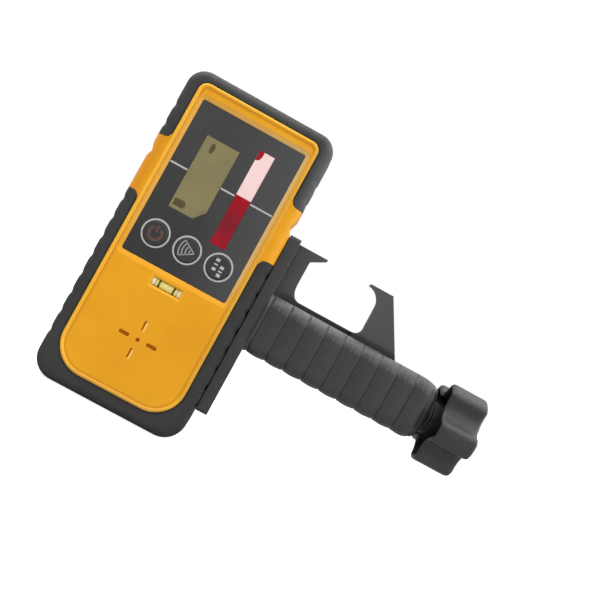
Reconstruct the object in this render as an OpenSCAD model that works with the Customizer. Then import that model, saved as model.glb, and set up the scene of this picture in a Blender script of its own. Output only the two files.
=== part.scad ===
// Hand-held laser receiver on a rod clamp.
// The origin is the middle of the fixed jaw's flat face, +X runs along the clamp towards the knob,
// -Y is the receiver's front and +Z is up.

/* [Receiver body] */
// Width across the side bumpers
body_w = 76; // [74:1:84]
// Height from the bottom bumper to the top bumper
body_h = 160; // [156:1:172]
// Depth from the front bead to the back
body_d = 28; // [28:0.5:32]
// Corner radius at the top
top_r = 9; // [8:0.5:12]
// Corner radius at the bottom
bottom_r = 11; // [10:0.5:14]
// Rounding of the bumpers' long edges
edge_r = 4.5; // [3:0.5:6]
// Wall of the two housings
wall = 2.4; // [2:0.1:3]
// Depth of the front housing, from the bead to the joint line
split_depth = 16; // [15:0.5:17]

/* [Bumpers] */
// Rubber thickness on the sides
bumper_side = 3; // [2.5:0.1:3.5]
// Rubber thickness on the top
bumper_top = 3.4; // [3:0.1:4.5]
// Rubber thickness under the bottom
bumper_bottom = 4.5; // [4:0.1:6]
// Depth of the lips that wrap on to the front and the back
lip_depth = 1.8; // [1.4:0.1:2.2]
// How far the bumpers lie behind the front bead
bumper_set = 0.5; // [0.3:0.1:0.8]
// Height of the top bumper's ends above the middle, on the sides
upper_gap_z = 43; // [41:0.5:45]
// Height of the bottom bumper's ends above the middle, on the sides
lower_gap_z = 15; // [13:0.5:17]
// Width of the round corner at a bumper's end, beside the face
end_w = 3.6; // [2:0.2:5]
// Height of the round corner at a bumper's end
end_rise = 4.4; // [2:0.2:6]
// Spacing of the grip scallops along the sides
scallop_pitch = 9.8; // [8.5:0.1:11]
// Distance of the first scallop from a bumper's end
scallop_first = 5.8; // [5:0.1:7]
// Depth of a grip scallop
scallop_depth = 0.5; // [0.3:0.1:1.1]
// Radius of a grip scallop
scallop_r = 6; // [5:0.5:8]

/* [Front face] */
// Bumper seen beside the face
side_band = 6.8; // [6:0.1:7.5]
// Bumper seen above the face
top_band = 5.8; // [5:0.1:7]
// Bumper seen below the face
bottom_band = 8.4; // [7.5:0.1:9.5]
// Upper corner radius of the face
face_top_r = 4.6; // [3:0.2:6]
// Lower corner radius of the face
face_bottom_r = 15.5; // [12:0.5:17]
// Width of the raised bead round the face
bead_w = 1.5; // [1:0.1:2]
// Height of the bead above the face
bead_h = 0.5; // [0.3:0.1:0.7]
// Height of the zero marks above the middle
zero_z = 34.5; // [32:0.5:36]
// Depth of the zero notches in the sides
notch_depth = 1.9; // [1.2:0.1:2.4]
// Height of a zero notch above its mark
notch_rise = 5.5; // [3:0.5:7]
// Height of a zero notch below its mark
notch_fall = 3.5; // [2:0.5:5]

/* [Face panel] */
// Width of the dark panel
panel_w = 53.5; // [52:0.5:56]
// Height of the dark panel
panel_h = 78; // [77:0.2:82]
// Height of the panel's top edge above the middle
panel_top = 66.8; // [66.5:0.1:69]
// Corner radius of the panel
panel_r = 1; // [0.6:0.1:3]
// Thickness of the panel
panel_t = 0.9; // [0.7:0.1:1.2]
// How far the panel lies below the face
panel_drop = 0.8; // [0.6:0.1:1]
// Width of the sloped edge round the panel
panel_slope = 2.4; // [1:0.1:2.6]
// Wall of the housing behind the panel
panel_wall = 1.6; // [1.4:0.1:1.8]

/* [Display and sensor] */
// Width of the display window
lcd_w = 16.8; // [15:0.2:18]
// Height of the display window
lcd_h = 37.2; // [33:0.2:38]
// Middle of the display, left of the centre line
lcd_left = 9; // [8.8:0.1:10]
// Width of the sensor windows
sensor_w = 7.7; // [6.5:0.1:9]
// Height of the two sensor windows together
sensor_h = 48.4; // [44:0.2:49]
// Middle of the sensor, right of the centre line
sensor_right = 11; // [10:0.1:12]
// Height of the red window's top edge above the zero marks
sensor_split = 1.1; // [0:0.1:2]
// Ledge that the windows rest on
ledge_w = 0.7; // [0.5:0.1:1]

/* [Buttons] */
// Diameter of a button cap
button_dia = 11.4; // [10:0.1:12]
// Spacing of the buttons
button_pitch = 16.3; // [16:0.1:17.5]
// Height of the buttons above the panel's lower edge
button_rise = 13.2; // [12:0.1:13.6]
// How far a cap stands above the panel
button_proud = 0.7; // [0.5:0.1:1]
// Travel of a button
button_travel = 0.7; // [0.5:0.1:0.8]

/* [Level and speaker] */
// Diameter of the spirit level vial
vial_dia = 5; // [4.4:0.1:5.4]
// Length of the vial
vial_len = 15; // [14:0.5:18]
// Distance of the vial below the panel
vial_drop = 6.4; // [6:0.1:8]
// Distance of the speaker's middle below the vial
speaker_drop = 27.1; // [25:0.1:29]
// Distance of a speaker slot from the middle
slot_reach = 7; // [6:0.1:7.5]
// Length of a speaker slot
slot_len = 5.2; // [4:0.1:6]
// Width of a speaker slot
slot_w = 1.9; // [1.4:0.1:2.2]
// Depth of a speaker slot
slot_sink = 1.1; // [0.6:0.1:1.6]
// Diameter of the sound hole in each speaker slot
sound_dia = 0.9; // [0.6:0.1:1.2]
// Diameter of the buzzer
buzzer_dia = 22; // [20:0.5:23]
// Thickness of the buzzer
buzzer_t = 5; // [4:0.1:5.2]

/* [Batteries] */
// Diameter of a battery cell
cell_dia = 14.5; // [14:0.1:14.6]
// Length of a battery cell
cell_len = 50.5; // [49:0.1:51]
// Thickness of the battery door
door_t = 2; // [1.8:0.1:2.2]
// Wall of the battery bay
bay_wall = 1.6; // [1.2:0.1:1.8]
// Length of a contact spring
spring_len = 5; // [4:0.1:6]
// Thickness of a contact plate
contact_t = 0.5; // [0.4:0.1:0.8]

/* [Clamp frame] */
// Thickness of the side flange
flange_t = 5.8; // [4.5:0.1:7]
// Height of the flange's top above the jaw seat
flange_top = 14; // [12.8:0.1:16]
// Height of the side flange
flange_h = 93.2; // [80:0.2:100]
// Gap between the body and the flange
flange_gap = 0.3; // [0.3:0.1:1]
// Distance of the flange's front edge behind the bead
flange_inset = 5; // [4:0.5:7]
// Thickness of the arm behind the body
arm_t = 4; // [3.5:0.1:5]
// Height of the arm
arm_h = 34; // [30:1:36]
// How far the arm reaches past the thumbscrew
arm_reach = 16; // [13:1:20]
// Jaw seat above the body's middle
seat_rise = 18; // [16:0.5:20]
// Grip's middle plane behind the body's middle plane
handle_setback = 3; // [2:0.5:4]

/* [Jaws] */
// Thickness of the jaw plates
jaw_t = 7; // [6:0.5:8]
// Width of the fixed jaw behind its flat face
jaw_web = 8.3; // [7:0.1:10]
// Height of the jaws above the seat's middle
jaw_top = 12.6; // [12:0.1:12.7]
// Depth of the mouth's floor below the seat's middle
mouth_floor = 12.1; // [11:0.1:12.4]
// Width of the mouth with the jaw fully open
mouth_w = 38.6; // [37:0.2:40]
// How far the jaw tips reach over the mouth
tip_reach = 7.3; // [6:0.1:8]
// Travel of the sliding jaw
jaw_travel = 22; // [18:0.5:22]
// Width of the sliding jaw along its top edge past the mouth
jaw_crown = 4.8; // [3:0.1:5]
// Width of the sliding jaw at its foot past the mouth
jaw_foot = 20.4; // [19:0.1:22]
// Radius under the sliding jaw's tip
jaw_hook_r = 8; // [7:0.1:9]
// Radius at the foot of the mouth
jaw_root_r = 4; // [3:0.1:5]
// Width of the guide rail behind the jaws
rail_w = 2; // [1.5:0.1:2.2]

/* [Grip] */
// Height of the grip
grip_h = 30.3; // [29.5:0.1:33]
// Depth of the grip
grip_d = 26; // [24:0.5:28]
// Middle of the grip below the jaw seat
grip_drop = 29.7; // [29.6:0.1:31]
// Length of the grip from the jaw seat to its end
grip_end = 84.7; // [83:0.1:90]
// Rounding of the grip's long edges
grip_r = 7; // [5:0.5:8]
// Rounding of the grip's end
grip_end_r = 8; // [6:0.5:9]
// Wall of the grip shells
grip_wall = 2.5; // [2:0.1:2.6]
// Distance of the first groove from the flange
groove_first = 1.7; // [1.5:0.1:8]
// Spacing of the grip's grooves
groove_pitch = 9.7; // [8:0.1:12]
// Width of a groove
groove_w = 0.8; // [0.5:0.1:1.2]
// Depth of a groove
groove_depth = 0.5; // [0.3:0.1:0.8]

/* [Lead screw and knob] */
// Lead screw below the grip's middle
screw_drop = 1.1; // [0.8:0.1:1.3]
// Diameter of the lead screw's thread
screw_dia = 10; // [8:0.5:10]
// Diameter of the lead screw's journal
journal_dia = 8; // [7:0.5:8]
// Diameter of the lead screw's pilot
pilot_dia = 6; // [5:0.5:6.5]
// Outer diameter of the jaw nut
nut_dia = 13; // [12.5:0.1:13.2]
// Length of the jaw nut
nut_len = 14; // [12:0.5:16]
// Diameter over the knob's lobes
knob_dia = 42.8; // [38:0.2:46]
// Length of the knob
knob_len = 21.6; // [18:0.2:24]
// Number of lobes on the knob
knob_lobes = 5; // [4:1:6]
// Depth of the flutes between the lobes
flute_depth = 6; // [5:0.1:6.5]
// Radius of the flutes
flute_r = 8; // [7:0.1:9]
// Rounding of the lobes' corners
lobe_corner_r = 3; // [2:0.1:3.5]
// Wall of the hollow knob
knob_wall = 2.6; // [2.2:0.1:3.2]
// Diameter of the knob's hub
hub_dia = 17; // [15:0.5:18]
// Angle of the lobe that faces the front
lobe_turn = -9; // [-36:1:36]

/* [Thumbscrew] */
// Diameter of the thumbscrew's shank
thumb_shank_dia = 6.3; // [5:0.05:6.5]
// Diameter of the thumbscrew's head
thumb_head_dia = 20; // [18:0.5:24]
// Thickness of the thumbscrew's head
thumb_head_t = 9; // [8:0.5:11]
// How far the shank reaches into the body
thumb_reach = 9; // [8:0.1:9.2]

/* [Clearances] */
// Radial clearance of a running fit
run_gap = 0.05; // [0.02:0.01:0.1]
// Clearance of a sliding piece on each side
slide_gap = 0.3; // [0.2:0.05:0.4]
// Clearance of a seated piece
seat_gap = 0.05; // [0.02:0.01:0.1]
// Clearance of a screw in its hole
bolt_gap = 0.2; // [0.1:0.05:0.4]
// End float of a turning piece
end_gap = 0.1; // [0.05:0.05:0.2]

/* [Hidden] */
$fn = 64;
past = 1;
skin = 0.01;

// Body frame: centred on the receiver, front towards -Y
front_y = -body_d / 2;
back_y = body_d / 2;
split_y = front_y + split_depth;
face_y = front_y + bead_h;
core_half = body_w / 2 - bumper_side;
core_top = body_h / 2 - bumper_top;
core_bottom = bumper_bottom - body_h / 2;
core_top_r = top_r - bumper_side;
core_bottom_r = bottom_r - bumper_side;
face_half = body_w / 2 - side_band;
scallop_half = sqrt(scallop_r * scallop_r - (scallop_r - scallop_depth) * (scallop_r - scallop_depth));
face_top = body_h / 2 - top_band;
face_bottom = bottom_band - body_h / 2;
shoulder_y = front_y + bumper_set + lip_depth;
rear_shoulder_y = back_y - lip_depth;

// Panel and what lies behind it
panel_bottom = panel_top - panel_h;
panel_y = face_y + panel_drop;
seat_y = panel_y + panel_t;
inner_y = seat_y + panel_wall;
stack_depth = 4;
board_y = inner_y + stack_depth;
board_t = 1.6;
board_half = 27;
board_top = 61.5;
board_bottom = -28;
post_inset = 3.5;
post_x = board_half - post_inset;
post_z = [board_top - post_inset, board_bottom + post_inset];
post_r = 2.2;
lcd_border = 2;
button_z = panel_bottom + button_rise;
button_flange_t = 0.9;
button_flange_r = button_dia / 2 + 1.3;
button_stem_r = 2.5;
button_stem_len = 0.4;
press_room = 0.35;
switch_h = stack_depth - seat_gap - button_flange_t - button_stem_len - button_travel - press_room;
vial_sink = 0.2;
vial_z = panel_bottom - vial_drop;
vial_y = face_y + vial_sink + vial_dia / 2;
speaker_z = vial_z - speaker_drop;
cradle_t = stack_depth - seat_gap;
cradle_wall = 1.5;
cradle_h = vial_dia + 2 * cradle_wall;
cradle_len = vial_len + 2 * cradle_wall;
slot_flat = 0.2;
buzzer_wall = 1.5;
gasket_t = 1;
gasket_w = 1.2;

// Battery bay, set up from the bottom of the rear housing
back_bottom_r = 3;
cell_gap = 0.5;
cell_bed = 0.2;
cell_pitch = cell_dia + 0.7;
cell_slack = 1;
cell_shift = (spring_len - contact_t) / 2;
bay_half = (cell_len + spring_len + contact_t) / 2 + seat_gap;
bay_rise = 1.1;
bay_low = core_bottom + wall + bay_wall + bay_rise;
bay_h = cell_pitch + cell_dia + 2 * cell_slack;
bay_high = bay_low + bay_h;
bay_mid = (bay_low + bay_high) / 2;
cell_y = back_y - door_t - cell_gap - cell_dia / 2;
bay_y = cell_y - cell_dia / 2 - cell_bed;
door_gap = 0.2;
hinge_r = door_t / 2;
hinge_y = back_y - hinge_r;
hinge_z = bay_low + door_gap + hinge_r;
hinge_pin_r = 0.7;
hinge_skin = 0.3;
hinge_pin_len = bay_wall - hinge_skin - end_gap;

// Housing screws
screw_r = 1.5;
screw_head_r = 2.8;
screw_head_t = 2.2;
screw_sink = 0.5;
boss_r = 3.6;
boss_inset = 1;
boss_floor = 1.5;
screw_tip_room = 3;
screw_x = core_half - wall - boss_r - boss_inset;
upper_screw_z = core_top - wall - boss_r - boss_inset;
lower_screw_z = bay_high + bay_wall + boss_r + bolt_gap;
screw_spots = [[-screw_x, upper_screw_z], [screw_x, upper_screw_z],
    [-screw_x, lower_screw_z], [screw_x, lower_screw_z]];
screw_len = back_y - screw_sink - screw_head_t - inner_y - screw_tip_room;

// Row frame
flange_x1 = -jaw_web;
flange_x0 = flange_x1 - flange_t;
body_x = flange_x0 - flange_gap - body_w / 2;
body_y = -handle_setback;
body_z = -seat_rise;
arm_y = body_y + back_y;
grip_z = -grip_drop;
grip_top = grip_z + grip_h / 2;
floor_z = -mouth_floor;
screw_z = grip_z - screw_drop;
blade_half = jaw_t / 2;
slot_half = blade_half + slide_gap;
rail_back = slot_half + rail_w;
neck_x0 = mouth_w - jaw_root_r;
neck_x1 = mouth_w + jaw_foot;
slot_room = 0.5;
slot_x0 = neck_x0 - jaw_travel - slot_room;
slot_x1 = neck_x1 + slot_room;
rail_short = 2.5;
rail_x1 = neck_x1 - rail_short;
tip_t = 0.8;
fixed_root = 4;
carriage_half = 8;
carriage_len = 20;
carriage_rise = 9.6;
carriage_fall = 7.5;
carriage_top = screw_z + carriage_rise;
carriage_low = screw_z - carriage_fall;
carriage_x1 = mouth_w + carriage_len;
nut_flange_t = 2;
nut_flange_r = nut_dia / 2 + 0.8;
root_x1 = 6;
root_half = grip_d / 2 - grip_wall - seat_gap;
bush_len = 8;
bush_wall = 2;
end_wall = 5.4;
end_wall_x = grip_end - end_wall;
collar_t = 2.8;
collar_r = 7.5;
collar_x = end_wall_x - 2 * end_gap - collar_t;
washer_t = 1.5;
washer_r = 8;
washer_x = grip_end + end_gap;
hub_x = washer_x + washer_t + end_gap;
hub_proud = 2.2;
knob_x = hub_x + hub_proud;
knob_end = knob_x + knob_len;
knob_cap = 4;
knob_pin_r = 1.5;
knob_pin_x = knob_x + knob_len / 2;
flute_out = knob_dia / 2 - flute_depth + flute_r;
least_corner_r = 0.3;
thumb_z = grip_z - body_z;
insert_r = 4.5;
insert_floor = 2;
insert_len = thumb_reach + 0.6;
insert_boss_r = 7;
peg_r = 2.4;
peg_len = 1.6;
peg_x = 18;
peg_z = 10;
captive_t = 1;
captive_r = 7;
grip_screw_r = 1.25;
grip_head_r = 2.4;
grip_head_t = 1.8;
grip_head_sink = 2.2;
grip_head_y = grip_d / 2 - grip_head_sink - grip_head_t;
grip_tip_y = grip_wall + 1 - grip_d / 2;
grip_boss_r = 3.4;
grip_boss_rise = screw_drop + screw_dia / 2 + grip_boss_r + 0.5;
grip_boss_x = [root_x1 + grip_boss_r + 1, collar_x - grip_boss_r - 1];
grip_screw_spots = [[grip_boss_x[0], grip_z - grip_boss_rise], [grip_boss_x[1], grip_z - grip_boss_rise],
    [grip_boss_x[1], grip_z + grip_boss_rise]];

// Slab of a flat outline, drawn in X and Z, from depth y0 to depth y1
module slab(y0, y1) {
    translate([0, y1, 0]) rotate([90, 0, 0]) linear_extrude(y1 - y0) children();
}

// Bar of a flat outline, drawn in Y and Z, from x0 to x1
module bar(x0, x1) {
    translate([x0, 0, 0]) rotate([90, 0, 90]) linear_extrude(x1 - x0) children();
}

// Round rod along Y
module rod_y(x, z, r, y0, y1) {
    translate([x, y1, z]) rotate([90, 0, 0]) cylinder(r = r, h = y1 - y0);
}

// Round rod along X
module rod_x(y, z, r, x0, x1) {
    translate([x0, y, z]) rotate([0, 90, 0]) cylinder(r = r, h = x1 - x0);
}

// Block between two corners
module block(low, high) {
    translate(low) cube(high - low);
}

// Rectangle with round corners, centred
module rounded(w, h, r) {
    square([w - 2 * r, h], center = true);
    square([w, h - 2 * r], center = true);
    for (x = [-1, 1], y = [-1, 1])
        translate([x * (w / 2 - r), y * (h / 2 - r)]) circle(r);
}

// Upright plate outline with its own radii at the top and the bottom
module plate(half, low, high, top_radius, low_radius) {
    translate([-half, low + low_radius]) square([2 * half, high - low - low_radius - top_radius]);
    translate([top_radius - half, low + low_radius])
        square([2 * (half - top_radius), high - low - low_radius]);
    translate([low_radius - half, low]) square([2 * (half - low_radius), high - low - top_radius]);
    for (x = [-1, 1]) {
        translate([x * (half - top_radius), high - top_radius]) circle(top_radius);
        translate([x * (half - low_radius), low + low_radius]) circle(low_radius);
    }
}

module at_body() {
    translate([body_x, body_y, body_z]) children();
}

// Outlines of the receiver
module core_outline(inset = 0) {
    plate(core_half - inset, core_bottom + inset, core_top - inset, core_top_r - inset,
        core_bottom_r - inset);
}

module face_outline(inset = 0) {
    plate(face_half - inset, face_bottom + inset, face_top - inset, face_top_r - inset,
        face_bottom_r - inset);
}

// The face at the back, with smaller corners at the bottom so that the battery door clears the rubber
module back_outline() {
    plate(face_half, face_bottom, face_top, face_top_r, back_bottom_r);
}

module panel_outline(grow = 0) {
    translate([0, (panel_top + panel_bottom) / 2])
        rounded(panel_w + 2 * grow, panel_h + 2 * grow, panel_r + grow);
}

module lcd_outline(grow = 0) {
    translate([-lcd_left, zero_z]) square([lcd_w + 2 * grow, lcd_h + 2 * grow], center = true);
}

module sensor_outline(grow = 0) {
    translate([sensor_right, zero_z]) square([sensor_w + 2 * grow, sensor_h + 2 * grow], center = true);
}

// Points of a quarter round in a corner at x and z, from the height h over it to the width w beside it
function corner_round(x, z, w, h, steps = 6) = [for (i = [0:steps])
    [x + w * (1 - cos(90 * i / steps)), z + h * (1 - sin(90 * i / steps))]];

function reversed(points) = [for (i = [len(points) - 1:-1:0]) points[i]];

// Edge of a bumper's end on the right side, from the face out to the side: way is 1 on the top bumper and -1
// on the bottom one
function end_edge(z, way) = concat(corner_round(face_half, z, end_w, way * end_rise), [[body_w / 2, z]]);

// Space between the two bumpers on one side
module gap_outline(side) {
    mirror([1 - side, 0]) polygon(concat(end_edge(upper_gap_z, 1), reversed(end_edge(lower_gap_z, -1))));
}

// Reach of one bumper, from its two ends to the body's top or bottom
module bumper_outline(z, way) {
    right = concat(end_edge(z, way), [[body_w / 2, way * body_h / 2]]);
    polygon(concat(right, reversed([for (p = right) [-p[0], p[1]]])));
}

// Rounded tablet that the bumpers and the side pads are cut from
module tablet() {
    depth = body_d - bumper_set;
    middle = bumper_set / 2;
    intersection() {
        slab(front_y + bumper_set, back_y)
            plate(body_w / 2, -body_h / 2, body_h / 2, top_r, bottom_r);
        bar(-body_w / 2, body_w / 2) translate([middle, 0]) rounded(depth, body_h, edge_r);
        translate([0, 0, -body_h / 2]) linear_extrude(body_h)
            translate([0, middle]) rounded(body_w, depth, edge_r);
    }
}

// Pads that fill the gap between the bumpers, with the zero notches
module side_pads(y0, y1) {
    difference() {
        intersection() {
            tablet();
            slab(y0, y1) for (side = [-1, 1]) gap_outline(side);
        }
        slab(front_y - past, back_y + past) for (side = [-1, 1]) notch_outline(side);
    }
}

// Zero notch in one side, deepest at its mark
module notch_outline(side) {
    outside = body_w / 2 + past;
    mirror([1 - side, 0]) polygon([[body_w / 2 - notch_depth, zero_z], [body_w / 2, zero_z + notch_rise],
        [outside, zero_z + notch_rise], [outside, zero_z - notch_fall], [body_w / 2, zero_z - notch_fall]]);
}

module button_holes(r, y0, y1) {
    for (i = [-1:1]) rod_y(i * button_pitch, button_z, r, y0, y1);
}

// Plus-shaped set of speaker slots
module speaker_outline() {
    translate([0, speaker_z]) {
        circle(slot_w / 2);
        for (a = [0:90:270]) rotate(a) translate([slot_reach, 0])
            rounded(slot_len, slot_w, (slot_w - slot_flat) / 2);
    }
}

// Sound holes in the middles of the speaker slots
module sound_holes(y0, y1) {
    rod_y(0, speaker_z, sound_dia / 2, y0, y1);
    for (a = [0:90:270])
        rod_y(slot_reach * cos(a), speaker_z + slot_reach * sin(a), sound_dia / 2, y0, y1);
}

module front_housing() {
    cut_y = front_y - past;
    hole_r = button_dia / 2 + slide_gap;
    at_body() color("orange") {
        difference() {
            union() {
                slab(shoulder_y, split_y) core_outline();
                slab(face_y, shoulder_y) face_outline();
                slab(front_y, face_y) difference() {
                    face_outline();
                    face_outline(bead_w);
                }
                side_pads(front_y, split_y);
            }
            slab(inner_y, split_y + past) core_outline(wall);
            slab(cut_y, seat_y) panel_outline(seat_gap);
            hull() {
                slab(cut_y, face_y) panel_outline(seat_gap + panel_slope, $fn = 32);
                slab(panel_y - skin, panel_y) panel_outline(seat_gap, $fn = 32);
            }
            slab(cut_y, inner_y + past) lcd_outline(-ledge_w);
            slab(cut_y, inner_y + past) sensor_outline(-ledge_w);
            button_holes(hole_r, cut_y, inner_y + past);
            slab(cut_y, inner_y + past) translate([0, vial_z])
                square([vial_len + 2 * seat_gap, vial_dia + 2 * seat_gap], center = true);
            slab(cut_y, face_y + slot_sink) speaker_outline();
            sound_holes(cut_y, inner_y + past);
            slab(split_y - gasket_t, split_y + past) gasket_outline();
        }
        for (x = [-post_x, post_x], z = post_z) rod_y(x, z, post_r, inner_y, board_y);
        slab(inner_y, inner_y + buzzer_t) translate([0, speaker_z]) difference() {
            circle(buzzer_dia / 2 + buzzer_wall);
            circle(buzzer_dia / 2 + seat_gap);
        }
        for (spot = screw_spots) difference() {
            rod_y(spot[0], spot[1], boss_r, inner_y, split_y);
            rod_y(spot[0], spot[1], screw_r + seat_gap, inner_y + boss_floor, split_y + past);
        }
    }
}

module gasket_outline() {
    edge = (wall - gasket_w) / 2;
    difference() {
        core_outline(edge);
        core_outline(edge + gasket_w);
    }
}

module housing_gasket() {
    at_body() color("dimgray") slab(split_y - gasket_t, split_y) gasket_outline();
}

// Box of the battery bay, or the room inside it
module bay_outline(grow) {
    translate([-bay_half - grow, bay_low - grow]) square([2 * (bay_half + grow), bay_h + 2 * grow]);
}

module rear_housing() {
    at_body() color("orange") {
        difference() {
            union() {
                difference() {
                    union() {
                        slab(split_y, rear_shoulder_y) core_outline();
                        slab(rear_shoulder_y, back_y) back_outline();
                        side_pads(split_y, back_y);
                    }
                    slab(split_y - past, back_y - wall) core_outline(wall);
                }
                slab(bay_y - bay_wall, back_y - wall) bay_outline(bay_wall);
                for (spot = screw_spots) rod_y(spot[0], spot[1], boss_r, split_y, back_y - wall);
                rod_y(0, thumb_z, insert_boss_r, back_y - insert_len - insert_floor, back_y - wall);
            }
            slab(bay_y, back_y + past) bay_outline(0);
            for (side = [-1, 1]) rod_x(hinge_y, hinge_z, hinge_pin_r + run_gap,
                side > 0 ? bay_half - past : hinge_skin - bay_half - bay_wall,
                side > 0 ? bay_half + bay_wall - hinge_skin : past - bay_half);
            for (spot = screw_spots) {
                rod_y(spot[0], spot[1], screw_r + bolt_gap, split_y - past, back_y + past);
                rod_y(spot[0], spot[1], screw_head_r + bolt_gap, back_y - screw_sink - screw_head_t,
                    back_y + past);
            }
            rod_y(0, thumb_z, insert_r + seat_gap, back_y - insert_len, back_y + past);
            for (side = [-1, 1])
                rod_y(peg_x, thumb_z + side * peg_z, peg_r + seat_gap, back_y - peg_len - bolt_gap,
                    back_y + past);
        }
    }
}

// Rubber that is left of the tablet round the housings
module bumper_blank() {
    difference() {
        tablet();
        slab(shoulder_y, rear_shoulder_y) core_outline();
        slab(front_y - past, shoulder_y + past) face_outline();
        slab(rear_shoulder_y - past, back_y + past) back_outline();
    }
}

// Shallow round grooves across both sides, at the heights in the list
module scallops(heights) {
    for (side = [-1, 1], z = heights)
        rod_y(side * (body_w / 2 + scallop_r - scallop_depth), z, scallop_r, front_y, back_y);
}

module top_bumper() {
    at_body() color("dimgray") difference() {
        intersection() {
            bumper_blank();
            slab(front_y, back_y) bumper_outline(upper_gap_z, 1);
        }
        scallops([upper_gap_z + scallop_first:scallop_pitch:body_h / 2 - top_r - scallop_half]);
    }
}

module bottom_bumper() {
    at_body() color("dimgray") difference() {
        intersection() {
            bumper_blank();
            slab(front_y, back_y) bumper_outline(lower_gap_z, -1);
        }
        scallops([lower_gap_z - scallop_first:-scallop_pitch:bottom_r + scallop_half - body_h / 2]);
    }
}

module face_panel() {
    at_body() color("darkslategray") difference() {
        slab(panel_y, seat_y) panel_outline();
        slab(panel_y - past, seat_y + past) lcd_outline(seat_gap);
        slab(panel_y - past, seat_y + past) sensor_outline(seat_gap);
        button_holes(button_dia / 2 + slide_gap, panel_y - past, seat_y + past);
    }
}

module lcd_window() {
    at_body() color("darkkhaki") slab(panel_y, seat_y) lcd_outline();
}

module lcd_module() {
    at_body() color("gray") slab(inner_y, board_y) lcd_outline(lcd_border);
}

module upper_sensor_window() {
    at_body() color("mistyrose") slab(panel_y, seat_y)
        translate([sensor_right - sensor_w / 2, zero_z + sensor_split])
        square([sensor_w, sensor_h / 2 - sensor_split]);
}

module lower_sensor_window() {
    at_body() color("firebrick") slab(panel_y, seat_y)
        translate([sensor_right - sensor_w / 2, zero_z - sensor_h / 2])
        square([sensor_w, sensor_h / 2 + sensor_split - seat_gap]);
}

// Photodiodes in a row on their own strip board
module photodiode_array() {
    strip_t = 1.6;
    diode = 3.4;
    diode_pitch = 4.6;
    strip_border = 0.5;
    count = floor(sensor_h / diode_pitch);
    at_body() color("darkgreen") {
        slab(board_y - strip_t, board_y) sensor_outline(strip_border);
        slab(inner_y + seat_gap, board_y - strip_t) for (i = [0:count - 1])
            translate([sensor_right, zero_z + (i - (count - 1) / 2) * diode_pitch])
                square(diode, center = true);
    }
}

// Button cap with its retaining flange and the stem that presses the switch
module button(place) {
    x = place * button_pitch;
    flange_y = inner_y + seat_gap;
    stem_y = flange_y + button_flange_t;
    at_body() color("dimgray") {
        rod_y(x, button_z, button_dia / 2, panel_y - button_proud, flange_y);
        rod_y(x, button_z, button_flange_r, flange_y, stem_y);
        rod_y(x, button_z, button_stem_r, stem_y, stem_y + button_stem_len);
    }
}

module power_button() {
    button(-1);
}

module sound_button() {
    button(0);
}

module precision_button() {
    button(1);
}

// Circuit board with the three key switches and the main chips
module main_board() {
    switch_w = 6;
    chip_t = 1.4;
    driver_w = 10;
    amplifier = [8, 14];
    at_body() color("green") {
        slab(board_y, board_y + board_t) translate([-board_half, board_bottom])
            square([2 * board_half, board_top - board_bottom]);
        slab(board_y - switch_h, board_y) for (i = [-1:1])
            translate([i * button_pitch, button_z]) square(switch_w, center = true);
        slab(board_y + board_t, board_y + board_t + chip_t) {
            translate([-lcd_left, zero_z]) square(driver_w, center = true);
            translate([sensor_right, zero_z]) square(amplifier, center = true);
        }
    }
}

module level_vial() {
    at_body() color("greenyellow") rod_x(vial_y, vial_z, vial_dia / 2, -vial_len / 2, vial_len / 2);
}

// Trough glued behind the front wall that carries the vial
module vial_cradle() {
    at_body() color("gray") difference() {
        slab(inner_y, inner_y + cradle_t) translate([0, vial_z])
            square([cradle_len, cradle_h], center = true);
        rod_x(vial_y, vial_z, vial_dia / 2 + seat_gap, -cradle_len, cradle_len);
    }
}

module buzzer() {
    at_body() color("black") difference() {
        rod_y(0, speaker_z, buzzer_dia / 2, inner_y, inner_y + buzzer_t);
        rod_y(0, speaker_z, slot_w / 2, inner_y - past, inner_y + buzzer_t / 2);
    }
}

module housing_screws() {
    head_y = back_y - screw_sink - screw_head_t;
    socket_r = 1.2;
    at_body() color("silver") for (spot = screw_spots) difference() {
        union() {
            rod_y(spot[0], spot[1], screw_r, head_y - screw_len, head_y);
            rod_y(spot[0], spot[1], screw_head_r, head_y, head_y + screw_head_t);
        }
        translate([spot[0], head_y + screw_head_t + past, spot[1]]) rotate([90, 0, 0])
            cylinder(r = socket_r, h = screw_head_t / 2 + past, $fn = 6);
    }
}

module mount_insert() {
    at_body() color("goldenrod") difference() {
        rod_y(0, thumb_z, insert_r, back_y - insert_len, back_y);
        rod_y(0, thumb_z, thumb_shank_dia / 2 + run_gap, back_y - insert_len - past, back_y + past);
    }
}

// Lid of the battery bay: round lower edge on the hinge line, thumb ribs near the top
module battery_door() {
    half = bay_half - door_gap;
    rib_t = 0.5;
    rib_h = 1.2;
    rib_half = 8;
    rib_pitch = 2.4;
    rib_inset = 4;
    rib_count = 4;
    at_body() color("darkorange") {
        block([-half, back_y - door_t, hinge_z], [half, back_y, bay_high - door_gap]);
        rod_x(hinge_y, hinge_z, hinge_r, -half, half);
        for (side = [-1, 1])
            rod_x(hinge_y, hinge_z, hinge_pin_r, side > 0 ? half : -half - door_gap - hinge_pin_len,
                side > 0 ? half + door_gap + hinge_pin_len : -half);
        for (i = [0:rib_count - 1]) translate([0, 0, bay_high - rib_inset - i * rib_pitch])
            block([-rib_half, back_y, -rib_h / 2], [rib_half, back_y + rib_t, rib_h / 2]);
    }
}

// Places what lies along the bay for each cell: the upper cell's nub points to +X, the lower one's to -X
module each_cell() {
    at_body() for (side = [-1, 1]) translate([0, cell_y, bay_mid + side * cell_pitch / 2])
        rotate([0, side > 0 ? 0 : 180, 0]) children();
}

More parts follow.
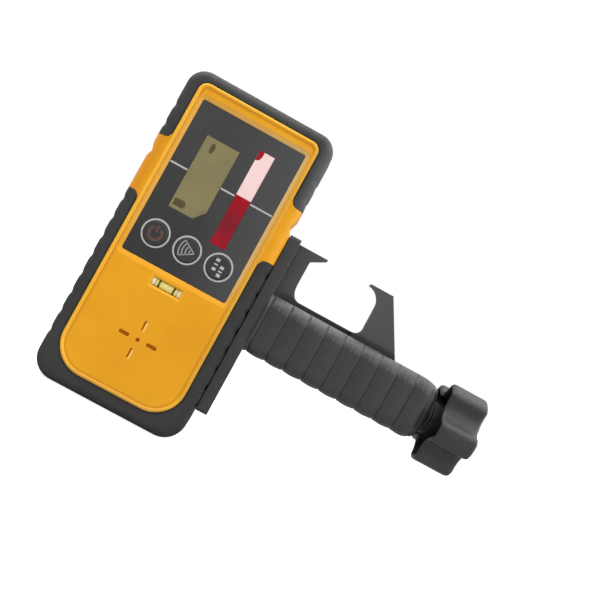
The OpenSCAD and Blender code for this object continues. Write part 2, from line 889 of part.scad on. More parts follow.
module battery_cells() {
    nub_r = 2.7;
    nub_len = 1;
    color("steelblue") each_cell() translate([cell_shift, 0, 0]) {
        rod_x(0, 0, cell_dia / 2, -cell_len / 2, cell_len / 2 - nub_len);
        rod_x(0, 0, nub_r, cell_len / 2 - nub_len, cell_len / 2);
    }
}

// Envelope of the springs under the cells' flat ends
module contact_springs() {
    spring_r = 3.6;
    color("silver") each_cell() rod_x(0, 0, spring_r, -bay_half, cell_shift - cell_len / 2);
}

// Plates on the bay's ends that the cells' nubs press on
module contact_plates() {
    plate_w = 9;
    color("silver") each_cell()
        block([bay_half - seat_gap - contact_t, -plate_w / 2, -plate_w / 2],
            [bay_half, plate_w / 2, plate_w / 2]);
}

// Fixed jaw, seen from the front: hooked tip, flat seat and a round foot
module fixed_jaw_outline() {
    hook_z = 5;
    foot_z = 7;
    ease = 0.5;
    head = [[flange_x1, grip_top], [flange_x1, jaw_top], [tip_reach, jaw_top], [tip_reach, jaw_top - tip_t],
        [ease, jaw_top - hook_z + ease], [0, jaw_top - hook_z - ease]];
    polygon(concat(head, corner_round(0, floor_z, fixed_root, foot_z), [[fixed_root, grip_top]]));
}

// Guide rail from the flange to x1, and from the depth y0 to its back
module rail(x1, y0) {
    slab(y0, rail_back) translate([flange_x1, grip_top]) square([x1 - flange_x1, floor_z - grip_top]);
}

module clamp_frame() {
    flange_y0 = body_y + front_y + flange_inset;
    flange_y1 = arm_y + arm_t;
    flange_r = 2;
    arm_x0 = body_x - arm_reach;
    arm_r = 6;
    color("dimgray") {
        difference() {
            union() {
                translate([0, (flange_y0 + flange_y1) / 2, flange_top - flange_h / 2])
                    bar(flange_x0, flange_x1) rounded(flange_y1 - flange_y0, flange_h, flange_r);
                slab(arm_y, flange_y1) translate([(arm_x0 + flange_x1) / 2, grip_z])
                    rounded(flange_x1 - arm_x0, arm_h, arm_r);
                slab(-blade_half, blade_half) fixed_jaw_outline();
                rail(fixed_root, 0);
                rail(rail_x1, slot_half);
                for (side = [-1, 1])
                    rod_y(body_x + peg_x, grip_z + side * peg_z, peg_r, arm_y - peg_len, arm_y);
                bar(flange_x1, root_x1) translate([0, grip_z])
                    square([2 * root_half, grip_h - 2 * grip_wall - 2 * seat_gap], center = true);
            }
            rod_x(0, screw_z, pilot_dia / 2 + bush_wall + seat_gap, root_x1 - bush_len, root_x1 + past);
            rod_y(body_x, grip_z, thumb_shank_dia / 2 + bolt_gap, arm_y - past, flange_y1 + past);
        }
    }
}

// Outer form of the whole grip, with its grooves and its round end
module grip_form() {
    difference() {
        intersection() {
            bar(flange_x1, grip_end) translate([0, grip_z]) rounded(grip_d, grip_h, grip_r);
            slab(-grip_d, grip_d) translate([(flange_x1 + grip_end) / 2 - grip_end_r, grip_z])
                rounded(grip_end - flange_x1 + 2 * grip_end_r, grip_h, grip_end_r);
            translate([(flange_x1 + grip_end) / 2 - grip_end_r, 0, grip_z - grip_h])
                linear_extrude(2 * grip_h) rounded(grip_end - flange_x1 + 2 * grip_end_r, grip_d, grip_end_r);
        }
        for (x = [flange_x1 + groove_first:groove_pitch:grip_end - grip_end_r])
            bar(x - groove_w / 2, x + groove_w / 2) translate([0, grip_z]) difference() {
                square([2 * grip_d, 2 * grip_h], center = true);
                rounded(grip_d - 2 * groove_depth, grip_h - 2 * groove_depth, grip_r - groove_depth);
            }
    }
}

// Half of the grip: hollow for the carriage, slotted for the jaw, bored for the bush and the screws
module grip_half(y0, y1) {
    hollow_w = grip_d - 2 * grip_wall;
    hollow_h = grip_h - 2 * grip_wall;
    difference() {
        union() {
            difference() {
                intersection() {
                    grip_form();
                    block([flange_x1, y0, grip_z - grip_h], [grip_end, y1, grip_z + grip_h]);
                }
                bar(flange_x1 - past, end_wall_x) translate([0, grip_z])
                    rounded(hollow_w, hollow_h, grip_r - grip_wall);
            }
            for (spot = grip_screw_spots) intersection() {
                rod_y(spot[0], spot[1], grip_boss_r, max(y0, -grip_d / 2 + grip_wall),
                    min(y1, grip_d / 2 - grip_wall));
                bar(flange_x1, grip_end) translate([0, grip_z])
                    square([grip_d, grip_h - grip_wall], center = true);
            }
        }
        block([slot_x0, -slot_half, grip_z], [slot_x1, slot_half, grip_top + past]);
        rod_x(0, screw_z, journal_dia / 2 + bush_wall + seat_gap, end_wall_x - past, grip_end + past);
        bar(flange_x1 - past, root_x1 + slide_gap) translate([0, grip_z])
            square([2 * (root_half + seat_gap), hollow_h], center = true);
        for (spot = grip_screw_spots) {
            rod_y(spot[0], spot[1], grip_screw_r + seat_gap, grip_tip_y - seat_gap, grip_d / 2 + past);
            rod_y(spot[0], spot[1], grip_head_r + bolt_gap, grip_head_y, grip_d / 2 + past);
        }
    }
}

module grip_front() {
    color("dimgray") grip_half(-grip_d / 2, 0);
}

module grip_back() {
    color("dimgray") grip_half(0, grip_d / 2);
}

module grip_screws() {
    socket_r = 1.1;
    color("silver") for (spot = grip_screw_spots) difference() {
        union() {
            rod_y(spot[0], spot[1], grip_screw_r, grip_tip_y, grip_head_y);
            rod_y(spot[0], spot[1], grip_head_r, grip_head_y, grip_head_y + grip_head_t);
        }
        translate([spot[0], grip_head_y + grip_head_t + past, spot[1]]) rotate([90, 0, 0])
            cylinder(r = socket_r, h = grip_head_t / 2 + past, $fn = 6);
    }
}

// Room in the mouth that the sliding jaw's inner edge follows
module mouth_outline() {
    hook_z = jaw_top - tip_t - jaw_hook_r;
    translate([mouth_w - jaw_hook_r, hook_z]) circle(jaw_hook_r);
    translate([mouth_w - jaw_root_r, floor_z + jaw_root_r]) circle(jaw_root_r);
    translate([0, floor_z]) square([mouth_w - jaw_root_r, jaw_top - tip_t - floor_z - jaw_hook_r]);
    translate([0, floor_z + jaw_root_r]) square([mouth_w, hook_z - floor_z - jaw_root_r]);
}

module sliding_jaw() {
    color("dimgray") {
        difference() {
            union() {
                slab(-blade_half, blade_half) difference() {
                    polygon([[mouth_w - tip_reach, jaw_top], [mouth_w + jaw_crown, jaw_top],
                        [neck_x1, grip_top], [neck_x1, carriage_top - past], [neck_x0, carriage_top - past],
                        [neck_x0, floor_z]]);
                    mouth_outline();
                }
                block([mouth_w, -carriage_half, carriage_low], [carriage_x1, carriage_half, carriage_top]);
            }
            rod_x(0, screw_z, nut_dia / 2 + seat_gap, mouth_w - past, carriage_x1 + past);
        }
    }
}

module jaw_nut() {
    flange_end = carriage_x1 + nut_flange_t;
    color("goldenrod") difference() {
        union() {
            rod_x(0, screw_z, nut_dia / 2, carriage_x1 - nut_len, carriage_x1);
            rod_x(0, screw_z, nut_flange_r, carriage_x1, flange_end);
        }
        rod_x(0, screw_z, screw_dia / 2 + run_gap, mouth_w - past, flange_end + past);
    }
}

module lead_screw() {
    pilot_end = root_x1 - bush_len + slide_gap;
    thread_start = root_x1 + slide_gap;
    journal_end = knob_end - knob_cap;
    color("silver") difference() {
        union() {
            rod_x(0, screw_z, pilot_dia / 2, pilot_end, thread_start);
            rod_x(0, screw_z, screw_dia / 2, thread_start, collar_x);
            rod_x(0, screw_z, collar_r, collar_x, collar_x + collar_t);
            rod_x(0, screw_z, journal_dia / 2, collar_x + collar_t, journal_end);
        }
        translate([knob_pin_x, 0, screw_z - hub_dia]) cylinder(r = knob_pin_r, h = 2 * hub_dia);
    }
}

module inner_bush() {
    color("goldenrod") difference() {
        rod_x(0, screw_z, pilot_dia / 2 + bush_wall, root_x1 - bush_len, root_x1);
        rod_x(0, screw_z, pilot_dia / 2 + run_gap, root_x1 - bush_len - past, root_x1 + past);
    }
}

module end_bush() {
    color("goldenrod") difference() {
        rod_x(0, screw_z, journal_dia / 2 + bush_wall, end_wall_x, grip_end);
        rod_x(0, screw_z, journal_dia / 2 + run_gap, end_wall_x - past, grip_end + past);
    }
}

module hub_washer() {
    color("gray") difference() {
        rod_x(0, screw_z, washer_r, washer_x, washer_x + washer_t);
        rod_x(0, screw_z, journal_dia / 2 + run_gap, washer_x - past, washer_x + washer_t + past);
    }
}

// Angle from a flute's middle to a point at one distance from the axis and another from the flute's centre
function flute_angle(from_axis, from_flute) =
    acos((from_axis ^ 2 + flute_out ^ 2 - from_flute ^ 2) / (2 * from_axis * flute_out));

function polar(r, a) = [r * cos(a), r * sin(a)];

// Star outline in Y and Z, drawn in by the inset: a disc less its flutes, with each corner that they leave
// cut off to the tangent points of a corner circle, which then fills it
module star_outline(inset = 0) {
    rim = knob_dia / 2 - inset;
    flute = flute_r + inset;
    corner = max(lobe_corner_r - inset, least_corner_r);
    corner_angle = flute_angle(rim - corner, flute + corner);
    sharp_angle = flute_angle(rim, flute);
    centre = polar(rim - corner, corner_angle);
    flute_centre = [flute_out, 0];
    flute_touch = flute_centre + (centre - flute_centre) * flute / (flute + corner);
    cut = [centre, polar(rim, corner_angle), polar(rim + past, sharp_angle), flute_touch];
    turns = [for (i = [0:knob_lobes - 1]) 180 - lobe_turn + (i + 0.5) * 360 / knob_lobes];
    difference() {
        circle(rim);
        for (turn = turns) rotate(turn) {
            translate(flute_centre) circle(flute);
            for (side = [-1, 1]) polygon([for (p = cut) [p[0], side * p[1]]]);
        }
    }
    for (turn = turns, side = [-1, 1]) rotate(turn) translate([centre[0], side * centre[1]]) circle(corner);
}

module star_knob() {
    color("dimgray") difference() {
        union() {
            difference() {
                translate([0, 0, screw_z]) bar(knob_x, knob_end) star_outline();
                translate([0, 0, screw_z]) bar(knob_x - past, knob_end - knob_cap) star_outline(knob_wall);
            }
            rod_x(0, screw_z, hub_dia / 2, hub_x, knob_end - knob_cap);
        }
        rod_x(0, screw_z, journal_dia / 2, hub_x - past, knob_end - knob_cap);
        translate([knob_pin_x, 0, screw_z - hub_dia / 2 - past])
            cylinder(r = knob_pin_r, h = hub_dia + 2 * past);
    }
}

module knob_pin() {
    color("silver") translate([knob_pin_x, 0, screw_z - hub_dia / 2]) cylinder(r = knob_pin_r, h = hub_dia);
}

module captive_washer() {
    washer_y = arm_y + arm_t + end_gap;
    color("silver") difference() {
        rod_y(body_x, grip_z, captive_r, washer_y, washer_y + captive_t);
        rod_y(body_x, grip_z, thumb_shank_dia / 2 + run_gap, washer_y - past, washer_y + captive_t + past);
    }
}

// Fluted head on a plain shank that reaches through the arm into the insert
module clamp_thumbscrew() {
    head_y = arm_y + arm_t + captive_t + 2 * end_gap;
    flutes = 20;
    notch_out = thumb_head_dia / 2 + 0.3;
    notch = 1.1;
    color("dimgray") {
        rod_y(body_x, grip_z, thumb_shank_dia / 2, arm_y - thumb_reach, head_y);
        translate([body_x, 0, grip_z]) slab(head_y, head_y + thumb_head_t) difference() {
            circle(thumb_head_dia / 2);
            for (i = [0:flutes - 1]) rotate(i * 360 / flutes) translate([notch_out, 0]) circle(notch);
        }
    }
}

front_housing();
rear_housing();
housing_gasket();
top_bumper();
bottom_bumper();
face_panel();
lcd_window();
lcd_module();
upper_sensor_window();
lower_sensor_window();
photodiode_array();
power_button();
sound_button();
precision_button();
main_board();
level_vial();
vial_cradle();
buzzer();
housing_screws();
mount_insert();
battery_door();
battery_cells();
contact_springs();
contact_plates();
clamp_frame();
grip_front();
grip_back();
grip_screws();
sliding_jaw();
jaw_nut();
lead_screw();
inner_bush();
end_bush();
hub_washer();
star_knob();
knob_pin();
captive_washer();
clamp_thumbscrew();
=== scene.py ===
"""Looks of the hand-held laser receiver on its rod clamp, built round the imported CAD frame.

Sizes are in millimetres in the row frame: the origin is the middle of the fixed jaw's flat face, +X runs
along the clamp to the knob, -Y is the receiver's front and +Z is up. A mesh is scaled to metres when made.
"""
import math

import bmesh
import bpy
import numpy as np
from mathutils import Matrix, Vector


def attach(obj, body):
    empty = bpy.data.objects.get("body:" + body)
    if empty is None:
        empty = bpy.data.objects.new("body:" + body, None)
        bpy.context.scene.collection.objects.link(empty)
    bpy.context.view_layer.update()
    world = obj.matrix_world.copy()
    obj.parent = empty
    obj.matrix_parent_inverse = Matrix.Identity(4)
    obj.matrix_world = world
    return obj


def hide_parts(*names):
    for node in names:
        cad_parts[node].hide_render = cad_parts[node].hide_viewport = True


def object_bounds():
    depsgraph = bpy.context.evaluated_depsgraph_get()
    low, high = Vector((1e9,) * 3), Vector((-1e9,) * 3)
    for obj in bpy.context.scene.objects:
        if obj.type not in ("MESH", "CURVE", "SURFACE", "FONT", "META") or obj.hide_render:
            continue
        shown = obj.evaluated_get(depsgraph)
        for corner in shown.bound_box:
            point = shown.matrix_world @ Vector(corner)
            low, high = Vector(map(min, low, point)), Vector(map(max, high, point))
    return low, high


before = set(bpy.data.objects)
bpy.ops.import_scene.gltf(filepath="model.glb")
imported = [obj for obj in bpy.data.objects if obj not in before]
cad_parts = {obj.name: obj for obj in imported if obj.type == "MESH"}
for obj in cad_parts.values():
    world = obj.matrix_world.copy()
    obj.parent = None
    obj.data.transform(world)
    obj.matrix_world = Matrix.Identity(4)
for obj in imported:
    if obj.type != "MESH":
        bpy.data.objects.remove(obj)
cad_low, cad_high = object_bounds()

MM = 0.001
PI = math.pi
QUARTER = PI / 2

# Mesh cleaning, in metres: how near double points lie in a new shape and in a CAD copy, and what has no area
NEW_MERGE, CAD_MERGE, NO_AREA = 1e-7, 2e-6, 1e-6
FLAT_ANGLE, BEVEL_ANGLE = math.radians(0.4), math.radians(40)
# Edges over these angles, in degrees, stay sharp in new shapes, CAD copies, the grip and the knob
SHARP, CAD_SHARP, GRIP_SHARP, KNOB_SHARP = 35, 30, 40, 50
FINE_BEVEL, RUBBER_BEVEL = 0.12, 0.25

# Receiver body: its middle in the row frame, then sizes in the body's own frame
BODY = np.array([-52.4, -3.0, -18.0])
BODY_HALF = 38.0
BODY_HIGH = 80.0
TOP_R, BOTTOM_R = 9.0, 11.0
EDGE_R = 4.5
BUMPER_FRONT, BUMPER_BACK = -13.5, 14.0
SHOULDER_FRONT, SHOULDER_BACK = -11.7, 12.2
END_W, END_RISE = 3.6, 4.4
UPPER_GAP, LOWER_GAP = 43.0, 15.0
SCALLOP_FIRST, SCALLOP_PITCH, SCALLOP_DEPTH, SCALLOP_REACH = 5.8, 9.8, 0.5, 2.8
BEAD_W, BEAD_H, BEAD_SINK = 1.7, 0.6, 0.15
# Outlines: half width, height of the top, height of the bottom, upper corner radius, lower corner radius
FACE = (31.2, 74.2, 71.6, 4.6, 15.5)
BACK = (31.2, 74.2, 71.6, 4.6, 3.0)
CORE = (35.0, 76.6, 75.5, 6.0, 8.0)

# Face of the receiver, in the row frame
FACE_Y = -16.5
PANEL_FRONT = -15.7
PANEL_LEFT, PANEL_RIGHT, PANEL_TOP, PANEL_LOW = -79.15, -25.65, 48.8, -29.2
PANEL_MIDDLE_Z, PANEL_HIGH = (PANEL_TOP + PANEL_LOW) / 2, (PANEL_TOP - PANEL_LOW) / 2
# The panel as an outline, like the three above
PANEL = ((PANEL_RIGHT - PANEL_LEFT) / 2, PANEL_HIGH, PANEL_HIGH, 1.0, 1.0)
PANEL_SLOPE = 2.4
ZERO_Z, ZERO_W = 16.5, 0.8
LCD_LEFT, LCD_RIGHT, LCD_TOP, LCD_LOW = -69.8, -53.0, 35.1, -2.1
PANE_LEFT, PANE_RIGHT, PANE_TOP, PANE_LOW = -45.25, -37.55, 40.7, -7.7
BUTTON_X = {"power_button": -68.7, "sound_button": -52.4, "precision_button": -36.1}
BUTTON_Z = -16.0
BUTTON_R, FLANGE_R, FLANGE_T, STEM_R = 5.7, 7.0, 0.9, 2.5
BUTTON_FRONT, BUTTON_FLANGE, BUTTON_BACK = -16.4, -13.15, -11.85
RING_R, RING_W = 6.4, 0.85
PRINT_T, PRINT_SINK = 0.04, 0.05
ICON_FRONT, ICON_SINK = BUTTON_FRONT + 0.03, 0.2
VIAL = np.array([-52.4, -13.8, -35.6])
VIAL_R, VIAL_HALF = 2.5, 7.5
SPEAKER_Z, SLOT_REACH, SLOT_LEN, SLOT_W, SLOT_SINK = -62.7, 7.0, 5.2, 1.9, 1.1
CELL_Y, CELL_R, CELL_LEN = 1.25, 7.25, 50.5
CELL_Z = (-64.95, -80.15)
CELL_SHIFT = 2.25
SPRING_R, SPRING_WIRE, SPRING_TURNS = 3.2, 0.35, 5
BAY_HALF = 28.05

# Pad between the flange and the bumpers
FLANGE_PAD_X, FLANGE_PAD_HALF, FLANGE_LOW, FLANGE_TOP = (-15.2, -14.05), 6.0, -78.5, 13.0

# Grip, lead screw and knob
GRIP_X0, GRIP_X1 = -8.3, 84.7
GRIP_Z = -29.7
GRIP_Y_HALF, GRIP_Z_HALF, GRIP_R = 13.0, 15.15, 7.0
GRIP_WALL = 2.5
# Rounded end of the grip: length along the grip and depth, for its sides and bottom, and for its top
GRIP_END, GRIP_END_TOP = (8.0, 6.8), (11.0, 4.3)
GROOVE_PITCH, GROOVE_START, GROOVE_HALF = 9.7, -6.6, 0.5
CROWN_DEPTH, GROOVE_DEPTH, FAINT_DEPTH = 0.32, 0.4, 0.2
ROOT_END = 6.3
SLOT_X0, SLOT_X1, SLOT_HALF = 12.1, 59.5, 3.8
END_WALL_X = 79.3
END_BORE_R = 6.05
GRIP_SCREWS = ((10.4, -39.7), (71.9, -39.7), (71.9, -19.7))
GRIP_HEAD_Y, GRIP_HEAD_BORE, GRIP_HEAD_END = 9.0, 2.6, GRIP_Y_HALF + 2
SCREW_Z = -30.8
THREAD_R, THREAD_DEPTH, LEAD = 5.0, 0.6, 2.0
PILOT_X, THREAD_X, COLLAR_X, JOURNAL_X, SCREW_END = -1.7, 6.3, 76.3, 79.1, 106.2
PILOT_R, PILOT_CHAMFER, COLLAR_R, JOURNAL_R = 3.0, 0.4, 7.5, 4.0
KNOB_X0, KNOB_X1, HUB_X, KNOB_FLOOR = 88.6, 110.2, 86.4, 106.2
KNOB_R, KNOB_LOBES, KNOB_WALL = 21.4, 5, 2.6
FLUTE_DEPTH, FLUTE_R, LOBE_CORNER_R = 6.0, 8.0, 3.0
FLUTE_ANGLE = math.radians(9)
HUB_R = 8.5

# Camera and floor
CAMERA_AT = (-8.8, -330.6, -19.8)
CAMERA_TURN, CAMERA_LIFT, CAMERA_ROLL = math.radians(-2.33), math.radians(1.59), math.radians(28.68)
CAMERA_FIELD = math.radians(47.5)
FLOOR_Z = -98.2
FLOOR_HALF = 4000.0
FLOOR_GLOW = 0.85
# Tent: strength along Y, what the ring round the object adds, and the leaning to the right and upwards
TENT_DIM, TENT_RING, TENT_RIGHT, TENT_ABOVE = 0.2, 1.15, 0.55, 0.55


# Shapes: each is (points, faces), with points as an array of millimetres

def quads(rows, columns, closed_rows=False):
    """Faces of a grid of points, row by row: each row is a ring, and closed rows join end to start."""
    r = np.arange(rows if closed_rows else rows - 1)[:, None]
    c = np.arange(columns)[None, :]
    r2, c2 = (r + 1) % rows, (c + 1) % columns
    corners = [r * columns + c, r2 * columns + c, r2 * columns + c2, r * columns + c2]
    return np.stack(np.broadcast_arrays(*corners), -1).reshape(-1, 4).tolist()


def skinned(loops, closed_path=False):
    """Skin over closed sections, an array (path, section, 3): an open path gets end caps."""
    steps, section = loops.shape[:2]
    faces = quads(steps, section, closed_rows=closed_path)
    if not closed_path:
        faces.append(list(range(section)))
        faces.append(list(range(steps * section - 1, (steps - 1) * section - 1, -1)))
    return loops.reshape(-1, 3), faces


def joined(*shapes):
    """Several shapes as one: points in a row, and each shape's faces counted on from the points before it."""
    starts = np.cumsum([0] + [len(points) for points, _ in shapes])
    faces = [[i + int(start) for i in face] for (_, part), start in zip(shapes, starts) for face in part]
    return np.concatenate([points for points, _ in shapes]), faces


def revolved(profile, centre, axis, steps=48):
    """Profile of (distance along the axis, radius) pairs turned once round the axis, 0 for X and 1 for Y."""
    along, radius = np.array(profile, float).T
    turn = np.linspace(0, 2 * PI, steps, endpoint=False)
    first = radius[:, None] * np.cos(turn)
    second = radius[:, None] * np.sin(turn)
    length = np.broadcast_to(along[:, None], first.shape)
    order = (length, first, second) if axis == 0 else (first, length, second)
    loops = np.stack(order, -1) + np.array(centre)
    return loops.reshape(-1, 3), quads(len(along), steps)


def rounded_edge(along, radius, r, start, end, steps=5):
    """Quarter round of a profile about the centre (along, radius), from one angle to another, in degrees."""
    turn = np.radians(np.linspace(start, end, steps))
    return list(zip(along + r * np.cos(turn), radius + r * np.sin(turn)))


def upright(points, y):
    """Points (x, z) stood upright at one depth y."""
    points = np.asarray(points, float)
    return np.stack([points[:, 0], np.full(len(points), y), points[:, 1]], 1)


def slab(outline, front, back):
    """Flat slab inside a closed outline of (x, z) points, between two depths."""
    return skinned(np.stack([upright(outline, front), upright(outline, back)]))


def patch(outline, front, depth=PRINT_SINK):
    """Flat patch of ink inside a closed outline, as thick as a printed line."""
    return slab(outline, front - PRINT_T, front + depth)


def printed(path, width, front, closed=False, depth=PRINT_SINK):
    """Thin line of ink: a flat section, width by thickness, carried along a path of (x, z) points."""
    path = np.array(path, float)
    ahead = np.roll(path, -1, 0) - np.roll(path, 1, 0)
    if not closed:
        ahead[0], ahead[-1] = path[1] - path[0], path[-1] - path[-2]
    ahead /= np.linalg.norm(ahead, axis=1)[:, None]
    side = np.stack([-ahead[:, 1], ahead[:, 0]], 1) * width / 2
    edges = [(path + side, front - PRINT_T), (path - side, front - PRINT_T),
             (path - side, front + depth), (path + side, front + depth)]
    return skinned(np.stack([upright(points, y) for points, y in edges], 1), closed_path=closed)


def block(x0, x1, z0, z1):
    """Outline of an upright rectangle, as (x, z) points."""
    return [(x0, z0), (x1, z0), (x1, z1), (x0, z1)]


def arc(x, z, r, start, end, steps=24):
    """Path of (x, z) points on a circle from one angle to another, in degrees, anticlockwise from +X."""
    turn = np.radians(np.linspace(start, end, steps))
    return np.stack([x + r * np.cos(turn), z + r * np.sin(turn)], 1)


# Pieces

def cleaned(mesh, merge, last_step):
    """Merges a mesh's double points, dissolves what has no area, and takes one last step on it."""
    work = bmesh.new()
    work.from_mesh(mesh)
    bmesh.ops.remove_doubles(work, verts=work.verts, dist=merge)
    bmesh.ops.dissolve_degenerate(work, edges=work.edges, dist=NO_AREA)
    last_step(work)
    work.to_mesh(mesh)
    work.free()
    return mesh


def turned_out(work):
    """Turns all faces outwards."""
    bmesh.ops.recalc_face_normals(work, faces=work.faces)


def flat_merged(work):
    """Merges triangles that lie in one plane into flat faces."""
    bmesh.ops.dissolve_limit(work, angle_limit=FLAT_ANGLE, verts=work.verts, edges=work.edges)


def new_mesh(name, shape):
    """Clean mesh of a shape in metres, with its faces turned outwards."""
    points, faces = shape
    mesh = bpy.data.meshes.new(name)
    mesh.from_pydata((np.asarray(points) * MM).tolist(), [], faces)
    return cleaned(mesh, NEW_MERGE, turned_out)


def linked(name, data):
    """New object in the scene."""
    obj = bpy.data.objects.new(name, data)
    bpy.context.scene.collection.objects.link(obj)
    return obj


def smoothed(mesh, sharp):
    """Smooth shading, but for edges over the sharp angle."""
    mesh.shade_smooth()
    mesh.set_sharp_from_angle(angle=math.radians(sharp))


def flat_shaded(piece):
    """Keeps large flat faces flat in their shading, up to their edges."""
    flattened = piece.modifiers.new("flat faces", "WEIGHTED_NORMAL")
    flattened.weight = 100
    flattened.keep_sharp = True


def placed(name, mesh, material, body, replaced, bevel, sharp):
    """Puts a mesh into the scene with its material, soft edges, body and the nodes that it stands for."""
    smoothed(mesh, sharp)
    mesh.materials.clear()
    mesh.materials.append(material)
    piece = linked(name, mesh)
    if bevel:
        rounding = piece.modifiers.new("edges", "BEVEL")
        rounding.width = bevel * MM
        rounding.segments = 3
        rounding.limit_method = "ANGLE"
        rounding.angle_limit = BEVEL_ANGLE
        rounding.use_clamp_overlap = False
        rounding.harden_normals = True
    else:
        flat_shaded(piece)
    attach(piece, body)
    if replaced:
        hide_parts(*replaced)
    return piece


def make_piece(name, shape, material, body="receiver", replaced=(), bevel=0.0, sharp=SHARP):
    """A shape as a piece of the scene."""
    return placed(name, new_mesh(name, shape), material, body, replaced, bevel, sharp)


def dressed(node, name, material, body="receiver", bevel=FINE_BEVEL, front=None):
    """Copy of a CAD node with its triangles merged into flat faces, so that its edges can be rounded. Where a
    front plane is given, what stands before it is pushed back into it."""
    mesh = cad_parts[node].data.copy()
    mesh.name = name
    if front is not None:
        points = np.empty(3 * len(mesh.vertices))
        mesh.vertices.foreach_get("co", points)
        points[1::3] = np.maximum(points[1::3], front * MM)
        mesh.vertices.foreach_set("co", points)
    cleaned(mesh, CAD_MERGE, flat_merged)
    return placed(name, mesh, material, body, (node,), bevel, CAD_SHARP)


def cut_holes(piece, shape):
    """Takes a closed shape out of a piece for good, with an exact Boolean."""
    cutter = linked("cutter", new_mesh("cutter", shape))
    cut = piece.modifiers.new("cut", "BOOLEAN")
    cut.operation = "DIFFERENCE"
    cut.object = cutter
    made = bpy.data.meshes.new_from_object(piece.evaluated_get(bpy.context.evaluated_depsgraph_get()))
    piece.modifiers.remove(cut)
    bpy.data.objects.remove(cutter)
    piece.data = made
    smoothed(made, SHARP)


# Shader groups

def add_node(tree, kind, settings=None, **inputs):
    """New shader node: settings are its own choices, and inputs are values or sockets by socket name."""
    node = tree.nodes.new("ShaderNode" + kind)
    for key, value in (settings or {}).items():
        setattr(node, key, value)
    for key, value in inputs.items():
        feed(tree, node.inputs[key.replace("_", " ")], value)
    return node


def feed(tree, socket, value):
    """Links a socket to another one, or sets its value."""
    if isinstance(value, bpy.types.NodeSocket):
        tree.links.new(value, socket)
    else:
        socket.default_value = value


def maths(tree, operation, *values):
    """Output of a Math node on one to three values or sockets."""
    node = tree.nodes.new("ShaderNodeMath")
    node.operation = operation
    for socket, value in zip(node.inputs, values):
        feed(tree, socket, value)
    return node.outputs[0]


def product(tree, first, *others):
    """Product of several values or sockets."""
    for other in others:
        first = maths(tree, "MULTIPLY", first, other)
    return first


def hypotenuse(tree, first, second):
    """Length of the long side of a right-angled triangle."""
    return maths(tree, "SQRT", maths(tree, "MULTIPLY_ADD", first, first, product(tree, second, second)))


def mixed(tree, factor, first, second):
    """Colour between two colours or sockets, by a factor from 0 to 1."""
    node = tree.nodes.new("ShaderNodeMix")
    node.data_type = "RGBA"
    for socket, value in zip((node.inputs[0], node.inputs[6], node.inputs[7]), (factor, first, second)):
        feed(tree, socket, value)
    return node.outputs[2]


def ranged(tree, value, low, high, to_low=0.0, to_high=1.0):
    """A value from one range taken to another, held at its ends."""
    node = add_node(tree, "MapRange", Value=value, From_Min=low, From_Max=high, To_Min=to_low, To_Max=to_high)
    return node.outputs["Result"]


def place(tree):
    """Place on the piece, in Object coordinates."""
    return add_node(tree, "TexCoord").outputs["Object"]


def split(tree, vector):
    """Outputs X, Y and Z of a vector."""
    return add_node(tree, "SeparateXYZ", Vector=vector).outputs


def noise(tree, scale, detail, roughness):
    """Fractal noise on Object coordinates."""
    node = add_node(tree, "TexNoise", Vector=place(tree), Scale=scale, Detail=detail, Roughness=roughness)
    return node.outputs["Fac"]


def new_group(name, inputs, *outputs):
    """Empty shader group with float inputs (name and default) and float outputs."""
    tree = bpy.data.node_groups.new(name, "ShaderNodeTree")
    for socket, default in inputs.items():
        made = tree.interface.new_socket(socket, in_out="INPUT", socket_type="NodeSocketFloat")
        made.default_value = default
    for socket in outputs:
        tree.interface.new_socket(socket, in_out="OUTPUT", socket_type="NodeSocketFloat")
    return tree, tree.nodes.new("NodeGroupInput").outputs, tree.nodes.new("NodeGroupOutput").inputs


def grain_group():
    """Moulded skin: fine noise as height, and a slow noise as tone, both from 0 to 1."""
    tree, given, result = new_group("moulded_grain", {"Scale": 1500.0, "Patches": 40.0}, "Height", "Tone")
    feed(tree, result["Height"], noise(tree, given["Scale"], 3.0, 0.6))
    feed(tree, result["Tone"], ranged(tree, noise(tree, given["Patches"], 4.0, 0.6), 0.3, 0.7))
    return tree


def wear_group():
    """Rubbed edges: where the rounded normal leaves the true one, broken up by noise."""
    tree, given, result = new_group("rubbed_edges", {"Radius": 0.0006, "Amount": 0.5}, "Wear")
    along = add_node(tree, "VectorMath", {"operation": "DOT_PRODUCT"})
    soft = add_node(tree, "Bevel", {"samples": 4}, Radius=given["Radius"])
    feed(tree, along.inputs[0], soft.outputs["Normal"])
    feed(tree, along.inputs[1], add_node(tree, "NewGeometry").outputs["Normal"])
    edge = ranged(tree, along.outputs["Value"], 0.995, 0.86)
    broken = ranged(tree, noise(tree, 260.0, 5.0, 0.7), 0.42, 0.62)
    feed(tree, result["Wear"], product(tree, edge, broken, given["Amount"]))
    return tree


def dust_group():
    """Dust film: on faces that look up, thinned by noise."""
    tree, given, result = new_group("settled_dust", {"Amount": 0.1}, "Dust")
    upward = ranged(tree, split(tree, add_node(tree, "NewGeometry").outputs["Normal"])["Z"], 0.2, 1.0)
    specks = ranged(tree, noise(tree, 700.0, 6.0, 0.75), 0.4, 0.7)
    feed(tree, result["Dust"], product(tree, upward, specks, given["Amount"]))
    return tree


OUTLINE_INPUTS = ("Middle X", "Middle Z", "Half", "Top", "Low", "Top Round", "Low Round")


